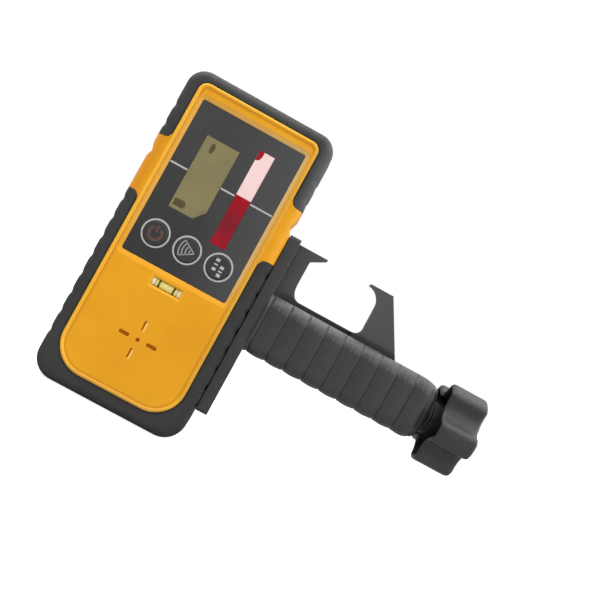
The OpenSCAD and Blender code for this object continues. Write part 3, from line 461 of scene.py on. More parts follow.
def outline_group():
    """Distance in metres outside a rounded outline, seen along Y: less than 0 inside it. The outline has one
    half width, heights above and below its middle, and a corner radius for its top and one for its bottom."""
    tree, given, result = new_group("outline_distance", {name: 0.0 for name in OUTLINE_INPUTS}, "Distance")
    middle_x, middle_z, half, top, low, top_r, low_r = (given[name] for name in OUTLINE_INPUTS)
    spot = split(tree, place(tree))
    across = maths(tree, "ABSOLUTE", maths(tree, "SUBTRACT", spot["X"], middle_x))
    up = maths(tree, "SUBTRACT", spot["Z"], middle_z)
    upper = maths(tree, "GREATER_THAN", up, 0.0)
    high = maths(tree, "MULTIPLY_ADD", upper, maths(tree, "SUBTRACT", top, low), low)
    corner = maths(tree, "MULTIPLY_ADD", upper, maths(tree, "SUBTRACT", top_r, low_r), low_r)
    past_x = maths(tree, "ADD", maths(tree, "SUBTRACT", across, half), corner)
    past_z = maths(tree, "ADD", maths(tree, "SUBTRACT", maths(tree, "ABSOLUTE", up), high), corner)
    beyond = hypotenuse(tree, maths(tree, "MAXIMUM", past_x, 0.0), maths(tree, "MAXIMUM", past_z, 0.0))
    within = maths(tree, "MINIMUM", maths(tree, "MAXIMUM", past_x, past_z), 0.0)
    feed(tree, result["Distance"], maths(tree, "SUBTRACT", maths(tree, "ADD", beyond, within), corner))
    return tree


GRAIN, WEAR, DUST, OUTLINE = grain_group(), wear_group(), dust_group(), outline_group()
DUST_COLOUR = (0.42, 0.40, 0.37, 1)


# Finishes: tones are display values of 0 to 255

def colour(tone):
    """Linear colour of a tone, by the sRGB curve."""
    shown = np.array(tone) / 255
    linear = np.where(shown <= 0.04045, shown / 12.92, ((shown + 0.055) / 1.055) ** 2.4)
    return (*linear.tolist(), 1.0)


def new_material(name):
    """Material with a Principled shader and an output, with its tree and the shader's inputs."""
    material = bpy.data.materials.new(name)
    material.use_nodes = True
    tree = material.node_tree
    return material, tree, tree.nodes["Principled BSDF"].inputs


def grouped(tree, group, values):
    """Outputs of a shader group that is placed in a material with its own values."""
    node = tree.nodes.new("ShaderNodeGroup")
    node.node_tree = group
    for key, value in values.items():
        node.inputs[key].default_value = value
    return node.outputs


def finish(name, dark, light, roughness, scale=1500.0, depth=0.02, worn=None, wear=0.4, wear_radius=0.6,
           dust=0.08, patches=40.0, metallic=0.0, coat=0.0, coat_roughness=0.1, specular=0.5):
    """Moulded or metal finish: two tones by slow noise, rubbed edges, dust, and grain in gloss and bump."""
    material, tree, shader = new_material(name)
    grain = grouped(tree, GRAIN, {"Scale": scale, "Patches": patches})
    base = mixed(tree, grain["Tone"], colour(dark), colour(light))
    if worn:
        rubbed = grouped(tree, WEAR, {"Radius": wear_radius * MM, "Amount": wear})
        base = mixed(tree, rubbed["Wear"], base, colour(worn))
    if dust:
        base = mixed(tree, grouped(tree, DUST, {"Amount": dust})["Dust"], base, DUST_COLOUR)
    spread = 0.07
    gloss = ranged(tree, grain["Height"], 0.25, 0.75, roughness - spread, roughness + spread)
    bump = add_node(tree, "Bump", Height=grain["Height"], Distance=depth * MM, Strength=1.0)
    for socket, value in {"Base Color": base, "Roughness": gloss, "Normal": bump.outputs["Normal"],
                          "Metallic": metallic, "Specular IOR Level": specular, "Coat Weight": coat,
                          "Coat Roughness": coat_roughness}.items():
        feed(tree, shader[socket], value)
    return material


def overlaid(material, tone, *masks):
    """Lays a tone over a finish's colour, by the product of masks built in the material's own tree."""
    tree = material.node_tree
    base = tree.nodes["Principled BSDF"].inputs["Base Color"]
    amount = product(tree, *[mask(tree) for mask in masks])
    feed(tree, base, mixed(tree, amount, base.links[0].from_socket, colour(tone)))


def along(axis, low, high, to_low, to_high):
    """Mask that goes from one value to another between two places on an axis."""
    return lambda tree: ranged(tree, split(tree, place(tree))[axis], low * MM, high * MM, to_low, to_high)


def off_outline(tree, outline, middle_z):
    """Distance from a rounded outline about the body's upright middle line, by the shared group."""
    values = [value * MM for value in (BODY[0], middle_z, *outline)]
    return grouped(tree, OUTLINE, dict(zip(OUTLINE_INPUTS, values)))["Distance"]


def outside(outline, middle_z, low, high, to_high):
    """Mask that goes from 0 to a value between two distances from an outline."""
    return lambda tree: ranged(tree, off_outline(tree, outline, middle_z), low * MM, high * MM, 0.0, to_high)


def bead_foot_shade(tree):
    """Mask of the painted shade along the inner foot of the bead."""
    inside = maths(tree, "ADD", off_outline(tree, FACE, BODY[2]), (BEAD_W + 0.6) * MM)
    return ranged(tree, maths(tree, "ABSOLUTE", inside), 0.8 * MM, 0.2 * MM, 0.0, 0.5)


def groove_shade(tree):
    """Mask of the painted shade in the grip's grooves."""
    along_grip = maths(tree, "SUBTRACT", split(tree, place(tree))["X"], GROOVE_START * MM)
    away = maths(tree, "PINGPONG", along_grip, GROOVE_PITCH / 2 * MM)
    return ranged(tree, away, 0.6 * MM, 0.2 * MM, 0.0, 0.7)


def off_axis(low, high):
    """Mask that goes from 0 to 1 between two distances from the lead screw's axis."""
    def mask(tree):
        spot = split(tree, place(tree))
        away = hypotenuse(tree, maths(tree, "SUBTRACT", spot["Z"], SCREW_Z * MM), spot["Y"])
        return ranged(tree, away, low * MM, high * MM)
    return mask


# On the shells the worn tone of the edges is wear and in part a painted highlight
SHELL = dict(dark=(226, 154, 6), light=(234, 164, 11), roughness=0.42, depth=0.012, specular=0.36,
             worn=(255, 205, 84), wear=0.55, wear_radius=0.5, dust=0.05)
YELLOW = finish("yellow_housing", **SHELL)
FACE_YELLOW = finish("yellow_face", **SHELL)
for shell in (YELLOW, FACE_YELLOW):
    # Painted shade: deeper on the left side
    overlaid(shell, (206, 128, 4), along("X", -86.5, -83, 0.6, 0.0))
# Painted shade along the inner foot of the bead
overlaid(FACE_YELLOW, (196, 126, 6), bead_foot_shade)
# Painted reflection: a pale sheen on the slope round the panel, which grows from the left to the right
overlaid(FACE_YELLOW, (212, 177, 114),
         outside(PANEL, PANEL_MIDDLE_Z, PANEL_SLOPE + 0.7, PANEL_SLOPE - 1.4, 1.0),
         along("Z", PANEL_LOW - 2, PANEL_LOW + 12, 0.0, 1.0), along("X", PANEL_LEFT, PANEL_RIGHT, 0.25, 0.85))
# Painted light: a paler copy of the yellow, for the bead and the frame round the vial, standing in for the
# light they catch
LIT_YELLOW = finish("lit_yellow", (237, 172, 22), (244, 181, 34), 0.36, depth=0.01, dust=0.03)
# Painted shade: duller at the bottom and on the right
overlaid(LIT_YELLOW, (188, 142, 58), along("Z", -80, -89, 0.0, 0.6))
overlaid(LIT_YELLOW, (170, 122, 36), along("X", -24, -21.5, 0.0, 0.4))
RUBBER = finish("bumper_rubber", (40, 40, 40), (49, 49, 48), 0.72, scale=1100.0, depth=0.05,
                worn=(92, 92, 92), wear=0.45, wear_radius=0.9, dust=0.12)
# Painted light: paler front edge on the right side of the upper bumper
overlaid(RUBBER, (92, 94, 96), along("X", -21, -16, 0.0, 0.5), along("Z", 18, 30, 0.0, 1.0),
         along("Y", -12.5, -8, 1.0, 0.0))
# Painted shade: darker on the left side, beside the face, and beside the flange on the right
overlaid(RUBBER, (20, 20, 20), along("X", -90, -86, 0.55, 0.0))
overlaid(RUBBER, (10, 10, 10), outside(FACE, BODY[2], 1.5, 0.1, 0.8))
overlaid(RUBBER, (26, 26, 27), along("X", -21, -17, 0.0, 0.5), along("Z", 10, -4, 0.0, 1.0))
FILM = finish("face_film", (52, 51, 51), (60, 59, 59), 0.36, scale=2600.0, depth=0.004,
              worn=(90, 90, 92), wear=0.3, wear_radius=0.3, dust=0.04, coat=0.25, coat_roughness=0.3)
# Painted reflection: darker towards the bottom, and paler towards the right
overlaid(FILM, (28, 28, 29), along("Z", 30, PANEL_LOW, 0.0, 0.75))
overlaid(FILM, (78, 78, 80), along("X", -55, PANEL_RIGHT, 0.0, 0.55))
KEY_RUBBER = finish("key_rubber", (38, 38, 40), (46, 46, 48), 0.6, scale=1800.0,
                    worn=(84, 84, 84), wear_radius=0.4)
CLAMP = finish("clamp_moulding", (46, 46, 48), (56, 56, 58), 0.58, scale=1300.0, depth=0.04,
               worn=(112, 112, 114), dust=0.12)
# Painted light: paler jaws, right of the flange. Painted shade on the floor of the mouth between them
overlaid(CLAMP, (84, 85, 87), along("X", -9, -6, 0.0, 0.38), along("Z", -12.4, -10.4, 0.0, 1.0))
overlaid(CLAMP, (24, 24, 24), along("X", -6, 0, 0.0, 0.95), along("Z", -12.8, -11.2, 1.0, 0.0))
GRIP = finish("grip_skin", (45, 45, 46), (54, 54, 55), 0.4, scale=1400.0, depth=0.04, dust=0.12)
# Painted highlight on the top of the grip, most of all beside the flange
overlaid(GRIP, (124, 124, 125), along("Z", GRIP_Z + 11.5, GRIP_Z + 14.2, 0.0, 1.0),
         along("X", 25, 75, 0.4, 0.0))
# Painted shade in the grooves
overlaid(GRIP, (18, 18, 18), groove_shade)
KNOB = finish("knob_moulding", (42, 42, 44), (52, 52, 54), 0.5, depth=0.025,
              worn=(104, 104, 108), wear=0.45, wear_radius=0.8, dust=0.1)
# Painted shade in the flutes, which lie nearer to the axis than the lobes, and in the hollow behind the end
overlaid(KNOB, (22, 22, 24), off_axis(KNOB_R - 1.5, KNOB_R - FLUTE_DEPTH),
         along("X", KNOB_X1 - 5, KNOB_X1 - 2, 0.4, 0.1))
overlaid(KNOB, (10, 10, 10), off_axis(14, 12), along("X", KNOB_FLOOR, KNOB_FLOOR + 1, 0.8, 0.0))
PRINT = dict(roughness=0.5, scale=3000.0, depth=0.003, dust=0)
GREY_INK = finish("grey_ink", (138, 140, 140), (150, 152, 152), **PRINT)
INK = finish("white_ink", (174, 174, 172), (186, 186, 184), **PRINT)
RED_INK = finish("red_ink", (84, 60, 52), (94, 68, 58), **PRINT)
SEGMENT = finish("display_segment", (80, 68, 46), (90, 78, 54), 0.3, scale=3000.0, depth=0.002, dust=0)
# Painted shade for the speaker slots
SLOT_FLOOR_SHADE = finish("slot_floor_shade", (176, 102, 4), (192, 116, 8), 0.7, dust=0, specular=0.1)
# Painted highlight for the right halves of the upright speaker slots
SLOT_GLINT = finish("slot_glint", (255, 192, 84), (255, 202, 100), 0.5, depth=0.01, dust=0)
FILTER = dict(scale=900.0, depth=0.003, patches=160.0)
RED_PANE = finish("red_filter", (152, 8, 26), (164, 12, 32), 0.16, dust=0.03, **FILTER)
# Painted shade: duller in the middle of its height
overlaid(RED_PANE, (108, 28, 40), along("Z", ZERO_Z - 2, ZERO_Z - 10, 0.0, 0.6),
         along("Z", PANE_LOW + 1, PANE_LOW + 9, 0.0, 1.0))
PALE_PANE = finish("pale_filter", (246, 212, 211), (252, 219, 218), 0.18, dust=0.02, coat=0.8,
                   coat_roughness=0.05, **FILTER)
STEEL = finish("plated_steel", (165, 166, 168), (186, 187, 189), 0.3, scale=2200.0, depth=0.006,
               worn=(215, 216, 218), wear=0.5, wear_radius=0.2, metallic=1.0)
BRASS = finish("turned_brass", (176, 138, 70), (198, 158, 86), 0.32, scale=2400.0, depth=0.006, metallic=1.0)
BOARD = finish("circuit_board", (18, 74, 42), (24, 92, 54), 0.4, scale=900.0, patches=300.0)
MODULE = finish("module_frame", (120, 122, 124), (142, 144, 146), 0.4)
BUZZER = finish("buzzer_case", (24, 24, 25), (32, 32, 33), 0.5)
CLEAR_END = finish("vial_end", (240, 226, 190), (248, 236, 206), 0.3, depth=0.004, dust=0.02)
LIQUID = dict(scale=500.0, depth=0.002, dust=0)
VIAL_LIQUID = finish("vial_liquid", (232, 216, 122), (240, 226, 140), 0.12, coat=0.6,
                     coat_roughness=0.05, **LIQUID)
BUBBLE = finish("vial_bubble", (240, 232, 160), (248, 240, 180), 0.08, coat=0.8,
                coat_roughness=0.03, **LIQUID)
VIAL_LINE = finish("vial_line", (104, 88, 40), (116, 98, 46), 0.8, depth=0.003, dust=0, specular=0.1)
CELL_WRAP = finish("cell_wrap", (52, 62, 78), (60, 72, 90), 0.25, scale=600.0, depth=0.004, coat=0.5)


def display_material():
    """Display: olive tones by slow noise, a fine grid of unlit dots, darker at the lower right corner."""
    material, tree, shader = new_material("display_glass")
    spot = split(tree, place(tree))
    grain = grouped(tree, GRAIN, {"Scale": 2400.0, "Patches": 70.0})
    base = mixed(tree, grain["Tone"], colour((126, 117, 79)), colour((136, 126, 86)))
    pitch, gap, white = 0.0007, 0.00008, (1, 1, 1, 1)
    flat = add_node(tree, "CombineXYZ", X=spot["X"], Y=spot["Z"]).outputs["Vector"]
    dots = add_node(tree, "TexBrick", {"offset": 0.0}, Vector=flat, Scale=1.0, Mortar_Size=gap,
                    Brick_Width=pitch, Row_Height=pitch, Color1=white, Color2=white,
                    Mortar=(0, 0, 0, 1)).outputs["Fac"]
    base = mixed(tree, product(tree, dots, 0.06), base, colour((104, 100, 68)))
    across = ranged(tree, spot["X"], (LCD_RIGHT - 5) * MM, LCD_RIGHT * MM)
    down = ranged(tree, spot["Z"], (LCD_LOW + 7) * MM, LCD_LOW * MM)
    base = mixed(tree, product(tree, across, down, 0.8), base, colour((76, 74, 58)))
    feed(tree, shader["Base Color"], base)
    feed(tree, shader["Roughness"], ranged(tree, grain["Height"], 0.2, 0.8, 0.22, 0.32))
    shader["Coat Weight"].default_value = 0.5
    shader["Coat Roughness"].default_value = 0.06
    return material


def glass_material():
    """Clear tube: full transmission with a faint noise in its roughness."""
    material, tree, shader = new_material("vial_glass")
    grain = grouped(tree, GRAIN, {"Scale": 900.0, "Patches": 80.0})
    feed(tree, shader["Roughness"], ranged(tree, grain["Tone"], 0.0, 1.0, 0.02, 0.07))
    shader["Base Color"].default_value = (0.98, 1.0, 0.93, 1)
    shader["Transmission Weight"].default_value = 1.0
    shader["IOR"].default_value = 1.06
    return material


DISPLAY, GLASS = display_material(), glass_material()


# Receiver

def bumper_outline(half, high, corner_r, gap, side_steps):
    """Outline from the right side's end, up the side, round the corner and over to the left side's end.
    The end is level at the body's side, and beside the face it climbs along a quarter ellipse."""
    inward = min(max(1 - (half - FACE[0]) / END_W, 0), 1)
    end = gap + END_RISE * (1 - math.sqrt(1 - inward ** 2))
    rise = np.linspace(0, 1, side_steps, endpoint=False)
    side = np.stack([np.full(side_steps, half), end + rise * (high - corner_r - end)], 1)
    right = np.concatenate([side, arc(half - corner_r, high - corner_r, corner_r, 0, 90, 14)])
    return np.concatenate([right, right[::-1] * [-1, 1]])


def scalloped(outline, gap, high, weight):
    """Outline with soft dips in its sides: cosine hollows at one pitch, from its end to its corner."""
    z = outline[:, 1] - gap - SCALLOP_FIRST
    count = np.floor((high - gap - SCALLOP_FIRST) / SCALLOP_PITCH)
    away = np.abs(z - np.clip(np.round(z / SCALLOP_PITCH), 0, count) * SCALLOP_PITCH)
    dip = np.where(away < SCALLOP_REACH, 0.5 + 0.5 * np.cos(PI * away / SCALLOP_REACH), 0)
    return outline - np.stack([np.sign(outline[:, 0]) * dip * SCALLOP_DEPTH * weight, np.zeros_like(z)], 1)


def bumper(end, gap, corner_r):
    """Rubber bumper: a closed hook section carried round the body's end, from one side's gap to the other.
    The section runs from the lip's front edge, along the housing to the back lip, and round the outer edges.
    Each lip has rows that lie closer together beside the face, where the bumper's end curves most."""
    side_steps = int((BODY_HIGH - gap) / 0.4)
    outer = np.array([BODY_HALF, BODY_HIGH, corner_r]) - EDGE_R
    low = 1 if end < 0 else 0

    def lip(outline, share):
        sizes = np.array([outline[0], outline[1 + low], outline[3 + low]])
        return bumper_outline(*(sizes * (1 - share) + outer * share), gap, side_steps)

    inner = [(FACE, BUMPER_FRONT), (FACE, SHOULDER_FRONT), (CORE, SHOULDER_FRONT), (CORE, SHOULDER_BACK),
             (BACK, SHOULDER_BACK), (BACK, BUMPER_BACK)]
    rows = [(lip(outline, 0), y) for outline, y in inner]
    shares = np.linspace(0, 1, 8)[1:-1] ** 2
    rows += [(lip(BACK, share), BUMPER_BACK) for share in shares]
    turn = np.linspace(0, QUARTER, 9)
    back = [(EDGE_R * (1 - math.sin(a)), BUMPER_BACK - EDGE_R * (1 - math.cos(a))) for a in turn]
    front = [(EDGE_R * (1 - math.cos(a)), BUMPER_FRONT + EDGE_R * (1 - math.sin(a))) for a in turn]
    for inset, y in back + front:
        plain = bumper_outline(BODY_HALF - inset, BODY_HIGH - inset, corner_r - inset, gap, side_steps)
        rows.append((scalloped(plain, gap, BODY_HIGH - corner_r - SCALLOP_REACH, 1 - inset / EDGE_R), y))
    rows += [(lip(FACE, share), BUMPER_FRONT) for share in shares[::-1]]
    return skinned(np.stack([upright(outline * [1, end], y) for outline, y in rows], 1) + BODY)


def face_bead():
    """Raised bead round the face: a half ellipse carried along the face's outline, inside it."""
    half, top, low, top_r, low_r = FACE
    centres = [(half - top_r, top - top_r, top_r), (top_r - half, top - top_r, top_r),
               (low_r - half, low_r - low, low_r), (half - low_r, low_r - low, low_r)]
    turn = np.linspace(0, PI, 13)
    rows = [(BEAD_W / 2 * (1 - math.cos(a)), -BEAD_H * math.sin(a)) for a in turn]
    rows = [(0, BEAD_SINK)] + rows + [(BEAD_W, BEAD_SINK)]
    loops = []
    for inset, y in rows:
        corners = [arc(x, z, r - inset, 90 * k, 90 * k + 90, 14) for k, (x, z, r) in enumerate(centres)]
        loops.append(upright(np.concatenate(corners), FACE_Y + y - BODY[1]))
    return np.concatenate(loops) + BODY, quads(len(rows), len(loops[0]), closed_rows=True)


make_piece("top_bumper_rubber", bumper(1, UPPER_GAP, TOP_R), RUBBER, replaced=("top_bumper",),
           bevel=RUBBER_BEVEL)
make_piece("bottom_bumper_rubber", bumper(-1, -LOWER_GAP, BOTTOM_R), RUBBER,
           replaced=("bottom_bumper",), bevel=RUBBER_BEVEL)
flat_shaded(dressed("front_housing", "front_shell", FACE_YELLOW, bevel=0.2, front=FACE_Y))
make_piece("face_bead", face_bead(), LIT_YELLOW)
dressed("rear_housing", "rear_shell", YELLOW, bevel=0)
dressed("battery_door", "battery_lid", YELLOW, body="battery_door", bevel=0.3)
dressed("face_panel", "face_film_panel", FILM)
dressed("lcd_window", "display_pane", DISPLAY)
dressed("upper_sensor_window", "pale_pane", PALE_PANE)
dressed("lower_sensor_window", "red_pane", RED_PANE)
dressed("housing_screws", "housing_screw_heads", STEEL)


def zero_lines():
    """White zero line in three lengths: panel to display, display to sensor, sensor to panel."""
    ends = [(PANEL_LEFT, LCD_LEFT), (LCD_RIGHT, PANE_LEFT), (PANE_RIGHT, PANEL_RIGHT)]
    gap = 0.3
    return joined(*[printed([(left + gap, ZERO_Z), (right - gap, ZERO_Z)], ZERO_W, PANEL_FRONT)
                    for left, right in ends])


def key_rings():
    """Printed circles round the three keys."""
    circles = [arc(x, BUTTON_Z, RING_R, 0, 360, 65)[:-1] for x in BUTTON_X.values()]
    return joined(*[printed(circle, RING_W, PANEL_FRONT, closed=True) for circle in circles])


def display_marks():
    """Display segments: an upright oval at the upper left and a battery block at the lower left."""
    oval = arc(0, 0, 1, 0, 360, 33)[:-1] * [1.15, 2.55] + [LCD_LEFT + 5.0, LCD_TOP - 4.6]
    left, low, long = LCD_LEFT + 1.1, LCD_LOW + 1.7, 5.2
    battery = block(left, left + long, low, low + 3.4)
    nub = block(left + long, left + long + 0.6, low + 1.1, low + 2.3)
    return joined(*[patch(outline, PANEL_FRONT) for outline in (oval, battery, nub)])


def display_corner():
    """Cut-off lower right corner of the display, as a triangle of the panel's film."""
    right, low = LCD_RIGHT - 0.05, LCD_LOW + 0.05
    return patch([(right - 4.3, low), (right, low), (right, low + 5.2)], PANEL_FRONT)


def corner_mark():
    """Red corner of the filter that shows at the upper left of the pale pane: a quarter of a full ellipse,
    whose cosine and sine are raised to a power below 1."""
    turn = np.linspace(0, QUARTER, 12)
    wide, high, power = 2.4, 4.8, 0.7
    x, z = PANE_LEFT + 0.05, PANE_TOP - 0.05
    bow = zip(x + wide * np.cos(turn) ** power, z - high * np.sin(turn) ** power)
    return patch([(x, z), *bow], PANEL_FRONT)


make_piece("zero_line_print", zero_lines(), INK)
make_piece("key_ring_print", key_rings(), INK)
make_piece("display_segments", display_marks(), SEGMENT)
make_piece("display_cut_corner", display_corner(), FILM)
make_piece("pane_corner", corner_mark(), RED_PANE)


def key_cap(x):
    """Key: a cap with a shallow dish and a round rim, its retaining flange and its stem, turned about Y."""
    dish, rim = 0.12, 0.6
    face = np.linspace(0, BUTTON_R - rim, 10)
    profile = [(BUTTON_FRONT + dish * (1 - (r / (BUTTON_R - rim)) ** 2), r) for r in face]
    profile += rounded_edge(BUTTON_FRONT + rim, BUTTON_R - rim, rim, 180, 90)
    flange_back = BUTTON_FLANGE + FLANGE_T
    profile += [(BUTTON_FLANGE, BUTTON_R), (BUTTON_FLANGE, FLANGE_R), (flange_back, FLANGE_R),
                (flange_back, STEM_R), (BUTTON_BACK, STEM_R), (BUTTON_BACK, 0)]
    return revolved(profile, (x, 0, BUTTON_Z), 1, steps=64)


def drawn_icon(paths):
    """Sign on a key: printed lines, each a path and a width."""
    return joined(*[printed(path, width, ICON_FRONT, depth=ICON_SINK) for path, width in paths])


def power_icon(x):
    """Power sign: a circle open at the top with an upright bar in the opening."""
    z, width = BUTTON_Z - 0.2, 1.3
    return drawn_icon([(arc(x, z, 3.0, 122, 418, 40), width), ([(x, z + 0.6), (x, z + 3.9)], width)])


def sound_icon(x):
    """Sound sign: a fan of four bows between two straight edges that meet on its right."""
    apex, spread, reach = x + 3.7, 31, 7.4
    bows = [arc(apex, BUTTON_Z, r, 180 - spread, 180 + spread, 20) for r in (2.4, 4.1, 5.8, reach)]
    edges = [[(apex, BUTTON_Z), end] for end in (bows[-1][0], bows[-1][-1])]
    return drawn_icon([(path, 0.6) for path in bows + edges])


def precision_icon(x):
    """Precision sign: two columns of three marks, the left one the higher, with thin marks in the middle."""
    half, thin, thick, bold = 0.95, 0.7, 1.4, 1.5
    marks = [(-1.6, 3.0, bold), (-1.6, 0.75, thin), (-1.6, -1.6, thick),
             (1.6, 0.5, thick), (1.6, -1.5, thin), (1.6, -3.4, bold)]
    return drawn_icon([([(x + across - half, BUTTON_Z + up), (x + across + half, BUTTON_Z + up)], width)
                       for across, up, width in marks])


for key, icon, ink in (("power_button", power_icon, RED_INK), ("sound_button", sound_icon, GREY_INK),
                       ("precision_button", precision_icon, INK)):
    make_piece(key + "_cap", key_cap(BUTTON_X[key]), KEY_RUBBER, body=key, replaced=(key,))
    make_piece(key + "_icon", icon(BUTTON_X[key]), ink, body=key)


def rod(half, r, end_r, middle=0.0):
    """Rod in the vial, along X: a profile of one half length and radius with round ends, turned."""
    start = rounded_edge(end_r - half, r - end_r, end_r, 180, 90)
    end = rounded_edge(half - end_r, r - end_r, end_r, 90, 0)
    return revolved(np.array([(-half, 0)] + start + end + [(half, 0)]) + [middle, 0], VIAL, 0)


def bubble():
    """Bubble: a long ellipsoid high in the tube."""
    turn = np.linspace(0, PI, 16)
    long, thin, shift = 2.6, 1.0, np.array([0, -0.95, 0.45])
    return revolved(np.stack([-long * np.cos(turn), thin * np.sin(turn)], 1), VIAL + shift, 0, steps=24)


def vial_bands(places, half, r, thickness):
    """Rings round the tube at some places along it, as turned rectangles."""
    far = r + thickness
    section = np.array([(-half, r), (half, r), (half, far), (-half, far), (-half, r)])
    return joined(*[revolved(section + [x, 0], VIAL, 0) for x in places])


def vial_bed():
    """Frame round the tube: rectangles that lead from the face down a slope to the glass, and back behind it.
    Each is a half width, a half height and a depth behind the face."""
    x, z = VIAL[0], VIAL[2]
    rows = [(8.2, 3.1, -0.02), (7.9, 2.8, -0.02), (7.0, 1.9, 0.95), (7.0, 1.9, 1.4), (8.2, 3.1, 0.4)]
    loops = [upright(block(x - across, x + across, z - high, z + high), FACE_Y + deep)
             for across, high, deep in rows]
    return np.concatenate(loops), quads(len(rows), 4, closed_rows=True)


make_piece("vial_tube", rod(VIAL_HALF, VIAL_R, 0.5), GLASS, replaced=("level_vial",))
make_piece("vial_fill", rod(VIAL_HALF - 1.9, VIAL_R - 0.4, 0.5), VIAL_LIQUID)
make_piece("vial_air", bubble(), BUBBLE)
make_piece("vial_lines", vial_bands((-3.7, 3.7), 0.5, VIAL_R - 0.39, 0.12), VIAL_LINE)
# Painted light: the frame is in the paler copy of the yellow
make_piece("vial_bed", vial_bed(), LIT_YELLOW)


def slot_floor_shade():
    """Painted shade in the level speaker slots and the middle hole: flat dark patches on their floors."""
    x, z = BODY[0], SPEAKER_Z
    long, thin = SLOT_LEN / 2, SLOT_W / 2
    middles = (x - SLOT_REACH, x + SLOT_REACH)
    slots = [block(middle - long, middle + long, z - thin, z + thin) for middle in middles]
    slots.append(arc(x, z, thin, 0, 345, 24))
    return joined(*[patch(slot, FACE_Y + SLOT_SINK - 0.05, depth=0.3) for slot in slots])


def upright_slots(left, right, sink):
    """Flat patches in the two upright speaker slots, between two distances from their middles."""
    x, long = BODY[0], SLOT_LEN / 2
    middles = (SPEAKER_Z - SLOT_REACH, SPEAKER_Z + SLOT_REACH)
    slots = [block(x + left, x + right, middle - long, middle + long) for middle in middles]
    return joined(*[patch(slot, FACE_Y + sink, depth=SLOT_SINK - sink + 0.2) for slot in slots])


# Painted shade in the level slots and the middle hole
make_piece("slot_floor_shade", slot_floor_shade(), SLOT_FLOOR_SHADE)
# Painted shade on the left halves of the upright slots, and a painted highlight on their right halves
make_piece("slot_shade", upright_slots(-SLOT_W / 2, -0.1, SLOT_SINK - 0.05), SLOT_FLOOR_SHADE)
make_piece("slot_glint", upright_slots(-0.1, SLOT_W / 2, 0.35), SLOT_GLINT)
make_piece("vial_plugs", joined(*[rod(0.75, VIAL_R - 0.3, 0.2, middle) for middle in (-6.5, 6.5)]),
           CLEAR_END)


def cells():
    """The two cells, turned: a flat end, a wrapped can with small round edges, and a nub. The upper one's nub
    points to +X, and the lower one's to -X."""
    half, edge, nub_r, nub = CELL_LEN / 2, 0.6, 2.7, 1.0
    profile = [(-half, 0), (-half, 6.0)] + rounded_edge(edge - half, CELL_R - edge, edge, 180, 90)
    profile += rounded_edge(half - nub - edge, CELL_R - edge, edge, 90, 0)
    profile += [(half - nub, nub_r), (half - 0.3, nub_r), (half, nub_r - 0.3), (half, 0)]
    shifted = np.array(profile) + [CELL_SHIFT, 0]
    return joined(*[revolved(shifted * [way, 1], (BODY[0], CELL_Y, z), 0) for way, z in zip((1, -1), CELL_Z)])


def spring(way, z):
    """Contact spring: a round wire section carried along a helix about X from the bay's end to the cell."""
    steps, section = SPRING_TURNS * 24, 8
    start, end = -BAY_HALF + SPRING_WIRE, CELL_SHIFT - CELL_LEN / 2 - SPRING_WIRE
    turn = np.linspace(0, 2 * PI * SPRING_TURNS, steps)[:, None]
    round_wire = np.linspace(0, 2 * PI, section, endpoint=False)[None, :]
    out = SPRING_R + SPRING_WIRE * np.cos(round_wire)
    length = np.linspace(start, end, steps)[:, None] + SPRING_WIRE * np.sin(round_wire)
    loops = np.stack([length * way, out * np.cos(turn), out * np.sin(turn)], -1)
    return skinned(loops + [BODY[0], CELL_Y, z])


make_piece("wrapped_cells", cells(), CELL_WRAP, replaced=("battery_cells",))
make_piece("wound_springs", joined(spring(1, CELL_Z[0]), spring(-1, CELL_Z[1])), STEEL,
           replaced=("contact_springs",))


# Clamp

def half_section(half_y, half_z, r, slot_side, square=0.0):
    """Half of a rounded rectangle at every station, as (y, z): from its top at the slot's side, over the
    edge of the jaw's slot, round the side, and to the middle of its bottom. Where it is square, each point
    of a corner's arc is pushed out to the corner's sides. Sizes are columns, one row for each station."""
    share = np.linspace(0, 1, 6)[None, :]
    turn = np.linspace(0, QUARTER, 11)[None, 1:-1]
    pushed = r * (1 + square * (1 / np.maximum(np.sin(turn), np.cos(turn)) - 1))
    slot_edge = np.minimum(SLOT_HALF, half_y - r)
    flat = slot_edge + (half_y - r - slot_edge) * share
    top_y = np.concatenate([slot_side + 0 * flat[:, :1], flat], 1)
    upper = (half_y - r + pushed * np.sin(turn), half_z - r + pushed * np.cos(turn))
    side = (half_y + 0 * share, (half_z - r) * (1 - 2 * share))
    lower = (half_y - r + pushed * np.cos(turn), r - half_z - pushed * np.sin(turn))
    bottom = ((half_y - r) * (1 - share), -half_z + 0 * share)
    rows = [(top_y, half_z + 0 * top_y), upper, side, lower, bottom]
    return np.concatenate([y for y, _ in rows], 1), np.concatenate([z for _, z in rows], 1)


def end_share(x, length):
    """Share of a rounded end's length that lies behind, from 0 to 1 at the grip's end."""
    return np.clip((x - GRIP_X1 + length) / length, 0, 1)


def end_round(x, length, depth):
    """How far a rounded end draws in: a quarter ellipse."""
    return depth * (1 - np.sqrt(1 - end_share(x, length) ** 2))


def groove_depth(x, height):
    """How far the grip's skin lies inside its full size: crowned ribs, a groove at each pitch, and between
    them a faint one that fades out below the top rounding. The height runs from -1 at the bottom to 1 at
    the top, where nothing is drawn in."""
    turns = (x - GROOVE_START) / GROOVE_PITCH
    main = np.abs(turns - np.round(turns)) * GROOVE_PITCH
    between = np.abs(turns - np.floor(turns) - 0.5) * GROOVE_PITCH
    crown = CROWN_DEPTH * (0.5 + 0.5 * np.cos(2 * PI * turns))
    groove = GROOVE_DEPTH * np.exp(-(main / GROOVE_HALF) ** 2)
    faint = FAINT_DEPTH * np.clip((height - 0.45) / 0.3, 0, 1) * np.exp(-(between / GROOVE_HALF) ** 2)
    return (crown + groove + faint) * (1 - np.clip((height - 0.94) / 0.05, 0, 1))


